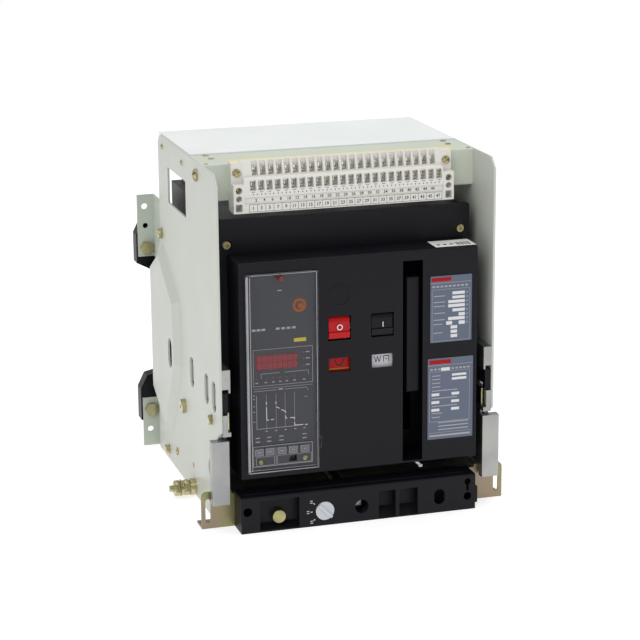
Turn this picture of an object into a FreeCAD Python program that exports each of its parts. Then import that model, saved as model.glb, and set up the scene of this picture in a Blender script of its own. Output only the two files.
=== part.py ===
"""Withdrawable three-pole air circuit breaker in its cradle.

Places are given from three datums: x from the centre plane, y back from the front edge of
the side plates, and z up from the floor. The sheet's plate_front turns y into the row frame,
whose origin is on the floor under the middle of the assembly's depth.
"""
import FreeCAD, Part
import math
import os
import re
import Sketcher

V = FreeCAD.Vector

# ---------------------------------------------------------------- driving sizes, millimetres
SIZES = {
    "plate_front": (-198.5, "row-frame y of the side plates' front edge"),
    # cradle sheet metal
    "plate_outer": (170.6, "outer face of a side plate from the centre"),
    "plate_sheet": (2.6, "side plate steel"),
    "plate_top": (430, "top of the side plates"),
    "plate_foot": (3.2, "underside of the side plates"),
    "plate_rear": (300, "rear edge of the upper side plate"),
    "bulge_rear": (332, "rear edge of the pressed bulge"),
    "bulge_rise": (8, "how far the bulge stands out"),
    "setback": (16.6, "front edge of the plate behind the rail's end block"),
    "step_high": (118, "top of the plate's set back part"),
    "slot_wide": (20, "louvre slot width"),
    "slot_low": (141, "louvre slot lower end"),
    "slot_high": (179, "louvre slot upper end"),
    "cover_sheet": (1.5, "top cover steel"),
    "cover_front": (134, "front edge of the top cover"),
    "cover_half": (168, "half width of the top cover"),
    "beam_front": (70.5, "front face of the cross beam"),
    "beam_low": (385.4, "underside of the cross beam"),
    "beam_sheet": (2.5, "cross beam steel"),
    "tray_sheet": (2.5, "floor tray steel"),
    "tray_front": (23, "front edge of the floor tray"),
    "tray_rear": (348, "rear edge of the floor tray"),
    "tray_fold": (34, "height of the floor tray's side folds"),
    "floor_hole_radius": (5.5, "hold-down holes in the floor tray"),
    "floor_hole_across": (140, "hold-down holes from the centre"),
    "floor_hole_front": (62, "front hold-down holes"),
    "floor_hole_rear": (302, "rear hold-down holes"),
    "foot_reach": (191, "end of the foot bar from the centre"),
    "foot_front": (20, "front face of the foot bar"),
    "foot_tall": (45.5, "height of the foot bar's ears"),
    "foot_slot_across": (183, "fixing slot from the centre"),
    "foot_slot_wide": (6.5, "fixing slot width"),
    # rear brackets and insulating base
    "flange_front": (354, "front face of the rear bracket flanges"),
    "flange_reach": (188.5, "outer edge of the rear bracket flanges"),
    "bracket_sheet": (2.6, "rear bracket steel"),
    "fixing_across": (179, "rear fixing holes from the centre"),
    "fixing_radius": (4, "rear fixing holes"),
    "fixing_low": (22.5, "lower rear fixing holes"),
    "fixing_high": (325.5, "upper rear fixing holes"),
    "base_half": (164, "half width of the rear base"),
    "base_thick": (28, "thickness of the rear base"),
    "base_top": (300, "top of the rear base"),
    "ear_reach": (190.5, "outer edge of the rear base's ears"),
    "rear_end": (409, "rear end of the main terminals"),
    # main circuit
    "pole_pitch": (95, "distance between poles"),
    "bar_half": (30, "half width of a main terminal"),
    "bar_thick": (12, "thickness of a main terminal"),
    "bar_hole_radius": (5.5, "bolt holes in a main terminal"),
    "bar_hole_across": (30, "bolt hole spacing in a main terminal"),
    "bar_hole_back": (397, "bolt holes in a main terminal, y"),
    "upper_level": (255, "centre height of the upper terminals"),
    "lower_level": (95, "centre height of the lower terminals"),
    "plug_end": (334, "rear end of the breaker's plug-in terminals"),
    "fit_gap": (0.3, "clearance between parts that slide past each other"),
    # rails
    "rail_inner": (157.8, "inner face of the rail lips"),
    "rail_outer": (167.6, "outer face of the rails"),
    "rail_rear": (290, "rear end of the rails"),
    "upper_rail_low": (176.5, "underside of the upper rails"),
    "upper_rail_high": (200, "top of the upper rails"),
    "lip_low": (118.7, "underside of the support lip"),
    "lip_high": (124, "top of the support lip"),
    "runner_high": (145, "top of the support rail"),
    "grip_reach": (180.5, "outer face of the rail's end block"),
    "grip_front": (5, "front face of the rail's end block"),
    "grip_low": (32.6, "underside of the rail's end block"),
    "grip_high": (111.7, "top of the rail's end block"),
    # terminal block
    "block_left": (-137.5, "left end of the terminal block"),
    "block_right": (135, "right end of the terminal block"),
    "block_front": (47, "front face of the terminal block"),
    "block_low": (374, "underside of the terminal block"),
    "block_high": (433, "top of the terminal block"),
    "way_pitch": (10, "distance between terminals in a row"),
    "way_first": (-113.7, "first terminal in the lower row"),
    "way_wide": (7.2, "width of a terminal pocket"),
    # base beam with the racking controls
    "front_end": (-12, "front face of the base beam"),
    "base_left": (-150.5, "left end of the base beam"),
    "base_right": (144, "right end of the base beam"),
    "base_high": (44.7, "top of the base beam"),
    "base_wall": (3.5, "wall of the base beam"),
    "button_x": (-103, "release button"),
    "button_z": (16, "release button"),
    "button_radius": (8.2, "release button"),
    "button_stem": (5, "release button stem radius"),
    "dial_x": (-47.4, "position dial"),
    "dial_z": (18.5, "position dial"),
    "dial_radius": (11.3, "position dial"),
    "dial_stem": (4, "position dial spindle radius"),
    "screw_x": (-1, "racking screw"),
    "screw_z": (18.6, "racking screw"),
    "screw_radius": (8, "racking screw"),
    "screw_rear": (266, "rear end of the racking screw"),
    "crank_radius": (8.5, "crank hole"),
    "crank_deep": (14, "length of the crank hole"),
    "shaft_gap": (0.05, "radial running clearance of a shaft in its bearing"),
    "carriage_front": (215, "front face of the carriage"),
    "carriage_deep": (30, "depth of the carriage"),
    # breaker housing
    "case_half": (150, "half width of the pole case"),
    "case_wall": (5, "wall of the pole case"),
    "case_front": (170, "front face of the pole case"),
    "case_rear": (318, "rear face of the pole case"),
    "case_low": (47, "underside of the breaker"),
    "case_high": (365, "top of the pole case"),
    "panel_front": (51, "front face of the body panel"),
    "panel_thick": (6, "thickness of the body panel"),
    "panel_half": (156, "half width of the body panel"),
    "panel_low": (50, "underside of the body panel"),
    "panel_high": (367.6, "top of the body panel"),
    "panel_screw_x": (145.5, "recessed screws in the body panel"),
    "panel_screw_z": (336.3, "recessed screws in the body panel"),
    "cover_middle": (1.5, "centre of the front cover"),
    "cover_wide": (295, "width of the front cover"),
    "cover_low": (63, "underside of the front cover"),
    "cover_high": (325.5, "top of the front cover"),
    "cover_wall": (3, "wall of the front cover"),
    # controller
    "unit_left": (-137, "left edge of the controller lid"),
    "unit_right": (-51, "right edge of the controller lid"),
    "unit_low": (70.5, "underside of the controller lid"),
    "unit_high": (312, "top of the controller lid"),
    "unit_face": (3, "front face of the controller"),
    "unit_deep": (90, "rear face of the controller"),
    "lid_front": (-4, "front face of the clear lid"),
    "lid_wall": (1.6, "wall of the clear lid"),
    "reset_x": (-96, "reset button"),
    "reset_z": (306, "reset button"),
    "reset_radius": (3, "reset button"),
    "key_low": (90.3, "underside of the keys"),
    "key_tall": (9.4, "height of a key"),
    "key_wide": (11.6, "width of a key"),
    # operating buttons, indicators and handle
    "push_wide": (26, "width of the operating buttons"),
    "push_low": (225.4, "underside of the operating buttons"),
    "push_high": (252.4, "top of the operating buttons"),
    "open_x": (-24.1, "opening button"),
    "close_x": (29.1, "closing button"),
    "flag_wide": (30, "width of an indicator flag"),
    "flag_front": (5, "front face of the indicator flags"),
    "flag_thick": (1.5, "thickness of the indicator flags"),
    "handle_left": (61.6, "left side of the charging handle"),
    "handle_right": (78.6, "right side of the charging handle"),
    "handle_front": (8, "front face of the charging handle"),
    "handle_low": (150, "lower end of the charging handle"),
    "handle_high": (292.5, "top of the charging handle"),
    "pivot_y": (78, "charging handle pivot"),
    "pivot_z": (172, "charging handle pivot"),
    "pivot_radius": (5, "charging handle pin"),
    # mechanism
    "frame_left": (-40, "left mechanism plate"),
    "frame_right": (48, "right mechanism plate"),
    "frame_sheet": (4, "mechanism plate steel"),
    "frame_low": (92, "underside of the mechanism plates"),
    "frame_high": (250, "top of the mechanism plates"),
    "shaft_y": (145, "main shaft"),
    "shaft_z": (140, "main shaft, and the contact carriers' pivots"),
    "shaft_radius": (10, "main shaft"),
    "crank_arm": (38, "main shaft lever, and the contact carriers' drive arm"),
    "carrier_y": (240, "contact carriers' pivots"),
    "open_angle": (22, "angle of the contact carriers when open"),
    "link_radius": (4, "pins of the contact links"),
    "cam_y": (100, "cam shaft"),
    "cam_z": (215, "cam shaft"),
    "cam_shaft_radius": (8, "cam shaft"),
    "cam_least": (18, "cam radius, spring discharged"),
    "cam_lift": (24, "rise of the cam over half a turn"),
    "spring_radius": (13, "closing spring, outside"),
    "spring_wire": (3, "closing spring wire radius"),
    "spring_low": (104, "fixed end of the closing spring"),
}

doc = FreeCAD.newDocument("air_circuit_breaker")
sheet = doc.addObject("Spreadsheet::Sheet", "Sizes")
for row, (alias, (millimetres, note)) in enumerate(SIZES.items(), start=1):
    sheet.set(f"A{row}", note)
    sheet.set(f"B{row}", str(millimetres))
    sheet.setAlias(f"B{row}", alias)
doc.recompute()

parts = {}


# ---------------------------------------------------------------- ways of making a feature
def bound(text):
    """Turns the sheet's words in a formula, such as 'cover_wide/2', into cell references."""
    def cell(word):
        return f"Sizes.{word.group()}" if word.group() in SIZES else word.group()
    return re.sub(r"[a-z][a-z_0-9]*", cell, str(text))


def number(text):
    """The value of a formula on the sheet's words."""
    return float(sheet.evalExpression(bound(text)))


def place(feature, x, y, z):
    """Puts a feature at a place given from the three datums."""
    feature.setExpression("Placement.Base.x", bound(x))
    feature.setExpression("Placement.Base.y", bound(f"plate_front + ({y})"))
    feature.setExpression("Placement.Base.z", bound(z))
    return feature


def box(name, x, y, z):
    """A block between two x, two y and two z."""
    block = doc.addObject("Part::Box", name)
    for side, (start, end) in zip(("Length", "Width", "Height"), (x, y, z)):
        block.setExpression(side, bound(f"({end}) - ({start})"))
    return place(block, x[0], y[0], z[0])


TURN = {
    "x": FreeCAD.Rotation(V(0, 1, 0), 90),
    "y": FreeCAD.Rotation(V(1, 0, 0), -90),
    "z": FreeCAD.Rotation(),
}


def along(feature, axis, span, centre):
    """Lays a round feature along an axis over a span, with its centre on the other two axes."""
    feature.Placement = FreeCAD.Placement(V(), TURN[axis])
    feature.setExpression("Height", bound(f"({span[1]}) - ({span[0]})"))
    spot = list(centre)
    spot.insert("xyz".index(axis), span[0])
    return place(feature, *spot)


def rod(name, radius, axis, span, centre):
    cylinder = doc.addObject("Part::Cylinder", name)
    cylinder.setExpression("Radius", bound(radius))
    return along(cylinder, axis, span, centre)


def hexagon(name, flats, axis, span, centre):
    prism = doc.addObject("Part::Prism", name)
    prism.Polygon = 6
    prism.setExpression("Circumradius", bound(f"({flats}) / sqrt(3)"))
    return along(prism, axis, span, centre)


PLANES = {"YZ": ("x", 0), "XZ": ("y", 1), "XY": ("z", 0)}


def outline(name, plane, points, span):
    """A plate or moulding of one section: a sketch on the body's own plane, padded over a span.

    Each corner of the sketch is tied to the sheet by its two distances from the datums.
    """
    axis, far_side = PLANES[plane]
    body = doc.addObject("PartDesign::Body", name)
    sketch = body.newObject("Sketcher::SketchObject", f"{name}_sketch")
    origin_plane = next(f for f in body.Origin.OriginFeatures if f.Role == f"{plane}_Plane")
    sketch.AttachmentSupport = [(origin_plane, "")]
    sketch.MapMode = "FlatFace"
    corners = [V(number(a), number(b), 0) for a, b in points]
    count = len(corners)
    edges = [Part.LineSegment(corners[i], corners[(i + 1) % count]) for i in range(count)]
    sketch.addGeometry(edges, False)
    for i, (across, up) in enumerate(points):
        sketch.addConstraint(Sketcher.Constraint("Coincident", i, 2, (i + 1) % count, 1))
        for kind, formula in (("DistanceX", across), ("DistanceY", up)):
            tie = sketch.addConstraint(Sketcher.Constraint(kind, -1, 1, i, 1, number(formula)))
            sketch.setExpression(f"Constraints[{tie}]", bound(formula))
    pad = body.newObject("PartDesign::Pad", f"{name}_pad")
    pad.Profile = sketch
    pad.setExpression("Length", bound(f"({span[1]}) - ({span[0]})"))
    spot = {"x": "0", "y": "0", "z": "0"}
    spot[axis] = span[far_side]
    place(body, *spot.values())
    return body


def join(name, *features):
    fusion = doc.addObject("Part::MultiFuse", name)
    fusion.Shapes = list(features)
    return fusion


def cut(name, base, *tools):
    difference = doc.addObject("Part::Cut", name)
    difference.Base = base
    difference.Tool = tools[0] if len(tools) == 1 else join(f"{name}_tools", *tools)
    return difference


def group(name, *features):
    """Like pieces that share one node, each its own solid."""
    compound = doc.addObject("Part::Compound", name)
    compound.Links = list(features)
    return compound


def mirror(name, feature):
    """The same piece on the other side of the centre plane."""
    other = doc.addObject("Part::Mirroring", name)
    other.Source = feature
    other.Normal = V(1, 0, 0)
    return other


def rounded(name, base, radius, chosen):
    """Fillets the edges that a test picks by their middle point and direction."""
    doc.recompute()
    fillet = doc.addObject("Part::Fillet", name)
    fillet.Base = base
    picked = []
    for index, edge in enumerate(base.Shape.Edges, start=1):
        first, last = edge.Vertexes[0].Point, edge.Vertexes[-1].Point
        if chosen((first + last) / 2 - V(0, number("plate_front"), 0), last - first):
            picked.append((index, number(radius), number(radius)))
    fillet.Edges = picked
    return fillet


def slot(name, x, y_middle, low, high, width):
    """A vertical slot with round ends, through an x span."""
    half = f"({width}) / 2"
    ends = [rod(f"{name}_end{i}", half, "x", x, (y_middle, z))
            for i, z in enumerate((f"({low}) + {half}", f"({high}) - {half}"))]
    middle = box(f"{name}_middle", x, (f"({y_middle}) - {half}", f"({y_middle}) + {half}"),
                 (f"({low}) + {half}", f"({high}) - {half}"))
    return join(name, middle, *ends)


def keep(node, feature):
    """Names the finished feature as a sub-part."""
    feature.Label = node
    parts[node] = feature
    return feature


POLES = ("-pole_pitch", "0", "pole_pitch")
LEVELS = ("upper_level", "lower_level")

# Fixings on a side plate: name, y, z, head radius, head height, hexagon or round.
PLATE_FIXINGS = (
    ("cover_screw_a", 274, 417.6, 3.4, 2.4, "round"),
    ("cover_screw_b", 167, 416, 3.4, 2.4, "round"),
    ("beam_bolt", 92.6, 414.5, 7.5, 5, "round"),
    ("bracket_bolt_high", 289, 303, 6.5, 6, "hexagon"),
    ("link_pin", 183, 104, 9, 6, "round"),
    ("rail_screw", 42, 128.5, 6, 5, "hexagon"),
    ("bracket_bolt_low", 279, 17, 6, 6, "hexagon"),
    ("tray_screw", 231, 29, 5, 3, "round"),
)
FIXING_SHANK = "3"


# ---------------------------------------------------------------- cradle
def side_plates():
    """Pressed steel sides: window, louvre slots and an outward bulge that clears the poles."""
    inner, outer = "-plate_outer + plate_sheet", "-plate_outer"
    sheet_span = (outer, inner)
    through = ("-plate_outer - 2", "-plate_outer + plate_sheet + 2")
    blank = outline("plate_blank", "YZ", [
        ("tray_front", "plate_foot"), ("335", "plate_foot"), ("335", "30"), ("bulge_rear", "75"),
        ("bulge_rear", "262"), ("plate_rear", "292"), ("plate_rear", "plate_top - 10"),
        ("plate_rear - 10", "plate_top"), ("13", "plate_top"), ("0", "plate_top - 13"),
        ("0", "step_high + 6"), ("8", "step_high"), ("setback", "step_high - 6"),
        ("setback", "foot_tall + 0.5"), ("tray_front", "foot_tall + 0.5")], sheet_span)
    ridge = [("286", "290"), ("201", "234"), ("195", "150"), ("258", "42"),
             ("bulge_rear", "80"), ("bulge_rear", "258")]
    crest = [("285", "276"), ("211", "229"), ("205", "154"), ("263", "56"),
             ("bulge_rear", "90"), ("bulge_rear", "250")]
    bulges = []
    for name, face in (("bulge_outside", outer), ("bulge_inside", inner)):
        rise = f"({face}) - bulge_rise"
        loops = []
        for corners, x in ((ridge, face), (crest, rise)):
            points = [V(number(x), number(f"plate_front + {y}"), number(z)) for y, z in corners]
            loops.append(Part.makePolygon(points + points[:1]))
        bulge = doc.addObject("Part::Feature", name)
        bulge.Shape = Part.makeLoft(loops, True, True)
        bulges.append(bulge)
    window = box("plate_window", through, ("151.6", "248"), ("350.8", "396"))
    slots = [slot(f"plate_slot_{i}", through, y, "slot_low", "slot_high", "slot_wide")
             for i, y in enumerate(("29.5", "66", "140.5"))]
    slots.append(slot("plate_slot_3", ("-plate_outer - bulge_rise - 2", inner), "226",
                      "slot_low + 2", "slot_high + 2", "slot_wide"))
    inspection = rod("plate_inspection_hole", "12", "x", through, ("52", "64"))
    holes = [rod(f"{name}_hole", FIXING_SHANK, "x", through, (y, z))
             for name, y, z, *_ in PLATE_FIXINGS]
    stud_hole = rod("stud_hole", "5", "x", through, ("137", "13"))
    left = cut("plate_left", join("plate_pressed", blank, bulges[0]), bulges[1], window, *slots,
               inspection, *holes, stud_hole)
    keep("side_plate_left", left)
    keep("side_plate_right", mirror("plate_right", left))


def plate_fixings():
    """Screws, bolts and pins on the outside of both plates, shanks flush with the inside."""
    heads = []
    for name, y, z, radius, height, shape in PLATE_FIXINGS:
        span = (f"-plate_outer - {height}", "-plate_outer")
        if shape == "round":
            head = rod(f"{name}_head", radius, "x", span, (y, z))
        else:
            head = hexagon(f"{name}_head", f"{radius} * sqrt(3)", "x", span, (y, z))
        shank = rod(f"{name}_shank", FIXING_SHANK, "x",
                    ("-plate_outer", "-plate_outer + plate_sheet"), (y, z))
        heads.append(join(name, head, shank))
    both = heads + [mirror(f"{head.Name}_right", head) for head in heads]
    keep("plate_fixings", group("plate_fixings_group", *both))


def top_cover():
    """White steel lid between the plates, folded down at the front and both sides."""
    top = box("cover_top", ("-cover_half", "cover_half"), ("cover_front", "plate_rear + 3"),
              ("plate_top", "plate_top + cover_sheet"))
    front = box("cover_front_fold", ("-cover_half", "cover_half"),
                ("cover_front", "cover_front + cover_sheet"), ("plate_top - 12", "plate_top"))
    sides = [box(f"cover_side_fold{i}", x, ("cover_front + 6", "plate_rear - 4"),
                 ("plate_top - 22", "plate_top"))
             for i, x in enumerate((("-cover_half", "-cover_half + cover_sheet"),
                                    ("cover_half - cover_sheet", "cover_half")))]
    keep("top_cover", join("cover_folded", top, front, *sides))


def cross_beam():
    """Folded steel beam across the top front; the terminal block is screwed to it."""
    outside = box("beam_outside", ("-cover_half", "cover_half"), ("beam_front", "cover_front - 0.5"),
                  ("beam_low", "plate_top"))
    inside = box("beam_inside", ("-cover_half - 1", "cover_half + 1"),
                 ("beam_front + beam_sheet", "cover_front"),
                 ("beam_low + beam_sheet", "plate_top - beam_sheet"))

    def front_edges(middle, run):
        return middle.y < number("beam_front") + 0.1 and abs(run.x) > 50
    outer = rounded("beam_rounded", outside, 2.2, front_edges)
    keep("cross_beam", cut("beam", outer, inside))


def terminal_block():
    """Grey plastic block in two steps: pockets for the clamp screws, lugs at both ends."""
    steps = outline("block_steps", "YZ", [
        ("block_front", "block_low"), ("block_front", "block_low + 10.6"),
        ("block_front + 3", "block_low + 11.4"), ("block_front + 3", "block_low + 17.6"),
        ("block_front", "block_low + 18.6"), ("block_front", "block_low + 30"),
        ("block_front + 2.5", "block_low + 40"), ("block_front + 9", "block_low + 41.5"),
        ("block_front + 9", "block_low + 46"), ("block_front + 13.5", "block_high"),
        ("beam_front", "block_high"),
        ("beam_front", "block_low")], ("block_left + 13", "block_right - 13"))
    lugs = [box(f"block_lug{i}", x, ("block_front", "beam_front"), ("block_low", "block_low + 34"))
            for i, x in enumerate((("block_left", "block_left + 13.2"),
                                   ("block_right - 13.2", "block_right")))]
    ears = [box(f"block_ear{i}", x, ("block_front + 11", "beam_front"),
                ("block_low + 34", "block_high - 1"))
            for i, x in enumerate((("block_left", "block_left + 13.2"),
                                   ("block_right - 13.2", "block_right")))]
    pockets = []
    screws = []
    for row, (ways, shift, front, low, high) in enumerate((
            (24, "0", "block_front - 1", "block_low + 26.5", "block_low + 38"),
            (23, "4.6", "block_front + 8", "block_low + 42.5", "block_high + 1"))):
        for way in range(ways):
            middle = f"way_first + {shift} + {way} * way_pitch"
            side = (f"{middle} - way_wide / 2", f"{middle} + way_wide / 2")
            pockets.append(box(f"pocket_{row}_{way}", side, (front, f"{front} + 10"), (low, high)))
            screws.append(rod(f"clamp_screw_{row}_{way}", "3", "y", (f"{front} + 6.5", f"{front} + 10"),
                              (middle, f"({low}) + 5.8")))
    end_middles = ("block_left + 6.6", "block_right - 6.6")
    for i, x in enumerate(end_middles):
        pockets.append(rod(f"lug_clamp_hole{i}", "4", "y", ("block_front", "block_front + 6"),
                           (x, "block_low + 27")))
        pockets.append(rod(f"lug_probe_hole{i}", "3.6", "y", ("block_front", "block_front + 10"),
                           (x, "block_low + 17.5")))
        pockets.append(box(f"lug_wire_hole{i}", (f"{x} - 4", f"{x} + 4"),
                           ("block_front", "block_front + 14"), ("block_low + 2", "block_low + 11")))
        screws.append(rod(f"lug_clamp_screw{i}", "3.2", "y", ("block_front + 3", "block_front + 6"),
                          (x, "block_low + 27")))
        screws.append(rod(f"block_fixing_screw{i}", "4.2", "y", ("block_front + 8", "block_front + 11"),
                          (x, "block_low + 46")))
    shell = cut("block", join("block_solid", steps, *lugs, *ears), *pockets)
    keep("terminal_block", shell)
    keep("terminal_screws", group("terminal_screw_group", *screws))


def foot_bar():
    """Zinc plated angle across the front, with slotted ears outside the side plates."""
    low_front = box("foot_web", ("-foot_reach", "foot_reach"), ("foot_front", "tray_front"),
                    ("0", "foot_tall"))
    relief = box("foot_relief", ("-154", "154"), ("foot_front - 1", "tray_front + 1"),
                 ("foot_tall - 4", "foot_tall + 1"))
    sole = box("foot_sole", ("-foot_reach", "foot_reach"), ("foot_front", "tray_front + 22"),
               ("0", "tray_sheet"))
    tray_room = box("foot_tray_room", ("-plate_outer", "plate_outer"), ("tray_front", "tray_front + 23"),
                    ("-1", "tray_sheet + 1"))
    slots = []
    for i, side in enumerate(("-foot_slot_across", "foot_slot_across")):
        half = "foot_slot_wide / 2"
        span = ("foot_front - 1", "tray_front + 1")
        slots += [rod(f"foot_slot_end{i}{z}", half, "y", span, (side, z)) for z in (10.5, 33.7)]
        slots.append(box(f"foot_slot_middle{i}", (f"{side} - {half}", f"{side} + {half}"), span,
                         ("10.5", "33.7")))
    bearing = rod("foot_bearing", "screw_radius + shaft_gap", "y", ("foot_front - 1", "tray_front + 1"),
                  ("screw_x", "screw_z"))
    stem_holes = [
        rod("foot_release_hole", "button_stem + 1", "y", ("foot_front - 1", "tray_front + 1"),
            ("button_x", "button_z")),
        rod("foot_dial_hole", "dial_stem + 1", "y", ("foot_front - 1", "tray_front + 1"),
            ("dial_x", "dial_z"))]
    angle = cut("foot_angle", join("foot_blank", low_front, sole), relief, tray_room, *slots,
                bearing, *stem_holes)

    def ear_tops(middle, run):
        return abs(middle.x) > 185 and middle.z > 40 and abs(run.y) > 2 and abs(run.x) < 0.1
    keep("foot_bar", rounded("foot_rounded", angle, 7, ear_tops))


def floor_tray():
    """Steel floor between the plates, with hold-down holes and the racking screw's rear bearing."""
    floor = box("tray_floor", ("-plate_outer + plate_sheet", "plate_outer - plate_sheet"),
                ("tray_front", "tray_rear"), ("0", "tray_sheet"))
    folds = [box(f"tray_fold_{i}", x, ("tray_front", "262"), ("0", "tray_fold"))
             for i, x in enumerate((("-plate_outer + plate_sheet", "-plate_outer + plate_sheet + tray_sheet"),
                                    ("plate_outer - plate_sheet - tray_sheet", "plate_outer - plate_sheet")))]
    block = box("tray_bearing", ("screw_x - 13", "screw_x + 13"), ("screw_rear - 12", "screw_rear + 4"),
                ("tray_sheet", "screw_z + 13"))
    bore = rod("tray_bore", "screw_radius + shaft_gap", "y", ("screw_rear - 13", "screw_rear + 0.5"),
               ("screw_x", "screw_z"))
    holes = [rod(f"tray_hole_{i}{j}", "floor_hole_radius", "z", ("-1", "tray_sheet + 1"), (x, y))
             for i, x in enumerate(("-floor_hole_across", "floor_hole_across"))
             for j, y in enumerate(("floor_hole_front", "floor_hole_rear"))]
    keep("floor_tray", cut("tray", join("tray_blank", floor, block, *folds), bore, *holes))


BRACKETS = (("high", "259", "341", "fixing_high", "270.5", "300"),
            ("low", "0", "66", "fixing_low", "50.5", None))


def rear_brackets():
    """Four steel angles: a leg inside each side plate and a drilled flange folded outwards."""
    angles = []
    bolts = []
    inner = "plate_outer - plate_sheet"
    for name, low, high, hole, bolt, spare in BRACKETS:
        leg_low = "plate_foot" if name == "low" else low
        leg = outline(f"bracket_leg_{name}", "YZ", [
            ("262", leg_low), ("flange_front + bracket_sheet", leg_low),
            ("flange_front + bracket_sheet", high), ("flange_front - 40", high),
            ("262", f"({high}) - 22")], (f"-({inner})", f"-({inner}) + bracket_sheet"))
        flange = box(f"bracket_flange_{name}", ("-flange_reach", f"-({inner}) + bracket_sheet"),
                     ("flange_front", "flange_front + bracket_sheet"), (low, high))
        through = ("flange_front - 1", "flange_front + bracket_sheet + 1")
        holes = [rod(f"bracket_hole_{name}", "fixing_radius", "y", through, ("-fixing_across", hole)),
                 rod(f"bracket_bolt_hole_{name}", "5", "y", through, ("-fixing_across + 1.5", bolt))]
        if spare:
            holes.append(rod(f"bracket_spare_{name}", "3.5", "y", through, ("-fixing_across + 0.7", spare)))
        angle = cut(f"bracket_{name}", join(f"bracket_blank_{name}", leg, flange), *holes)
        angles += [angle, mirror(f"bracket_{name}_right", angle)]
        head = hexagon(f"bracket_head_{name}", "16", "y", ("flange_front - 6.4", "flange_front"),
                       ("-fixing_across + 1.5", bolt))
        shank = rod(f"bracket_shank_{name}", "5", "y", ("flange_front", "flange_front + 18"),
                    ("-fixing_across + 1.5", bolt))
        screw = join(f"bracket_screw_{name}", head, shank)
        bolts += [screw, mirror(f"bracket_screw_{name}_right", screw)]
    keep("rear_brackets", group("bracket_group", *angles))
    keep("bracket_bolts", group("bracket_bolt_group", *bolts))


def rear_base():
    """Black insulating base behind the brackets: six terminal windows and phase barriers."""
    front = "flange_front + bracket_sheet"
    back = f"{front} + base_thick"
    slab = box("base_slab", ("-base_half", "base_half"), (front, back), ("5", "base_top"))
    ears = [outline(f"base_ear_{name}", "XZ", [
        ("-ear_reach", low), ("-base_half", lower), ("-base_half", f"({high}) + 22"),
        ("-ear_reach + 9", f"({high}) + 18"), ("-ear_reach", high)], (front, f"{front} + 20"))
        for name, low, high, lower in (("high", "250", "288", "236"), ("low", "35", "78", "30"))]
    ears += [mirror(f"{ear.Name}_right", ear) for ear in ears]
    barriers = [box(f"base_barrier_{i}", (f"({x}) - 2.5", f"({x}) + 2.5"), (back, "rear_end"),
                    ("14", "base_top - 8"))
                for i, x in enumerate(("-1.5 * pole_pitch", "-0.5 * pole_pitch", "0.5 * pole_pitch",
                                       "1.5 * pole_pitch"))]
    windows = [box(f"base_window_{i}_{level}", (f"({x}) - bar_half", f"({x}) + bar_half"),
                   (f"{front} - 1", f"{back} + 1"),
                   (f"{level} - bar_thick / 2", f"{level} + bar_thick / 2"))
               for level in LEVELS for i, x in enumerate(POLES)]
    bolt_holes = [rod(f"base_bolt_hole_{i}_{name}", "5", "y", (f"{front} - 1", f"{front} + 15.4"),
                      (f"{side} * (fixing_across - 1.5)", bolt))
                  for i, side in enumerate(("-1", "1")) for name, _, _, _, bolt, _ in BRACKETS]
    bolt_holes += [rod(f"base_spare_hole_{i}", "3.5", "y", (f"{front} - 1", f"{front} + 12"),
                       (f"{side} * (fixing_across - 0.7)", "300")) for i, side in enumerate(("-1", "1"))]
    keep("rear_base", cut("base", join("base_blank", slab, *ears, *barriers), *windows, *bolt_holes))


def cradle_terminals():
    """Six silver plated copper bars through the rear base, drilled for the busbars."""
    bars = []
    clusters = []
    for level in LEVELS:
        for i, x in enumerate(POLES):
            name = f"{level}_{i}"
            bar = box(f"cradle_bar_{name}", (f"({x}) - bar_half", f"({x}) + bar_half"),
                      ("plug_end + 7", "rear_end"), (f"{level} - bar_thick / 2", f"{level} + bar_thick / 2"))
            holes = [rod(f"cradle_bar_hole_{name}{side}", "bar_hole_radius", "z",
                         (f"{level} - bar_thick", f"{level} + bar_thick"),
                         (f"({x}) {side} bar_hole_across / 2", "bar_hole_back")) for side in "+-"]
            bars.append(cut(f"cradle_bar_drilled_{name}", bar, *holes))
            cage = box(f"cluster_cage_{name}", (f"({x}) - bar_half - 3", f"({x}) + bar_half + 3"),
                       ("plug_end - 13", "flange_front + bracket_sheet"),
                       (f"{level} - bar_thick / 2 - 7", f"{level} + bar_thick / 2 + 7"))
            mouth = box(f"cluster_mouth_{name}",
                        (f"({x}) - bar_half - fit_gap", f"({x}) + bar_half + fit_gap"),
                        ("plug_end - 14", "plug_end + 7"),
                        (f"{level} - bar_thick / 2 - fit_gap", f"{level} + bar_thick / 2 + fit_gap"))
            grip = box(f"cluster_grip_{name}", (f"({x}) - bar_half", f"({x}) + bar_half"),
                       ("plug_end + 6", "flange_front + bracket_sheet + 1"),
                       (f"{level} - bar_thick / 2", f"{level} + bar_thick / 2"))
            clusters.append(cut(f"cluster_{name}", cage, mouth, grip))
    keep("cradle_terminals", group("cradle_bar_group", *bars))
    keep("contact_clusters", group("cluster_group", *clusters))


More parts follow.
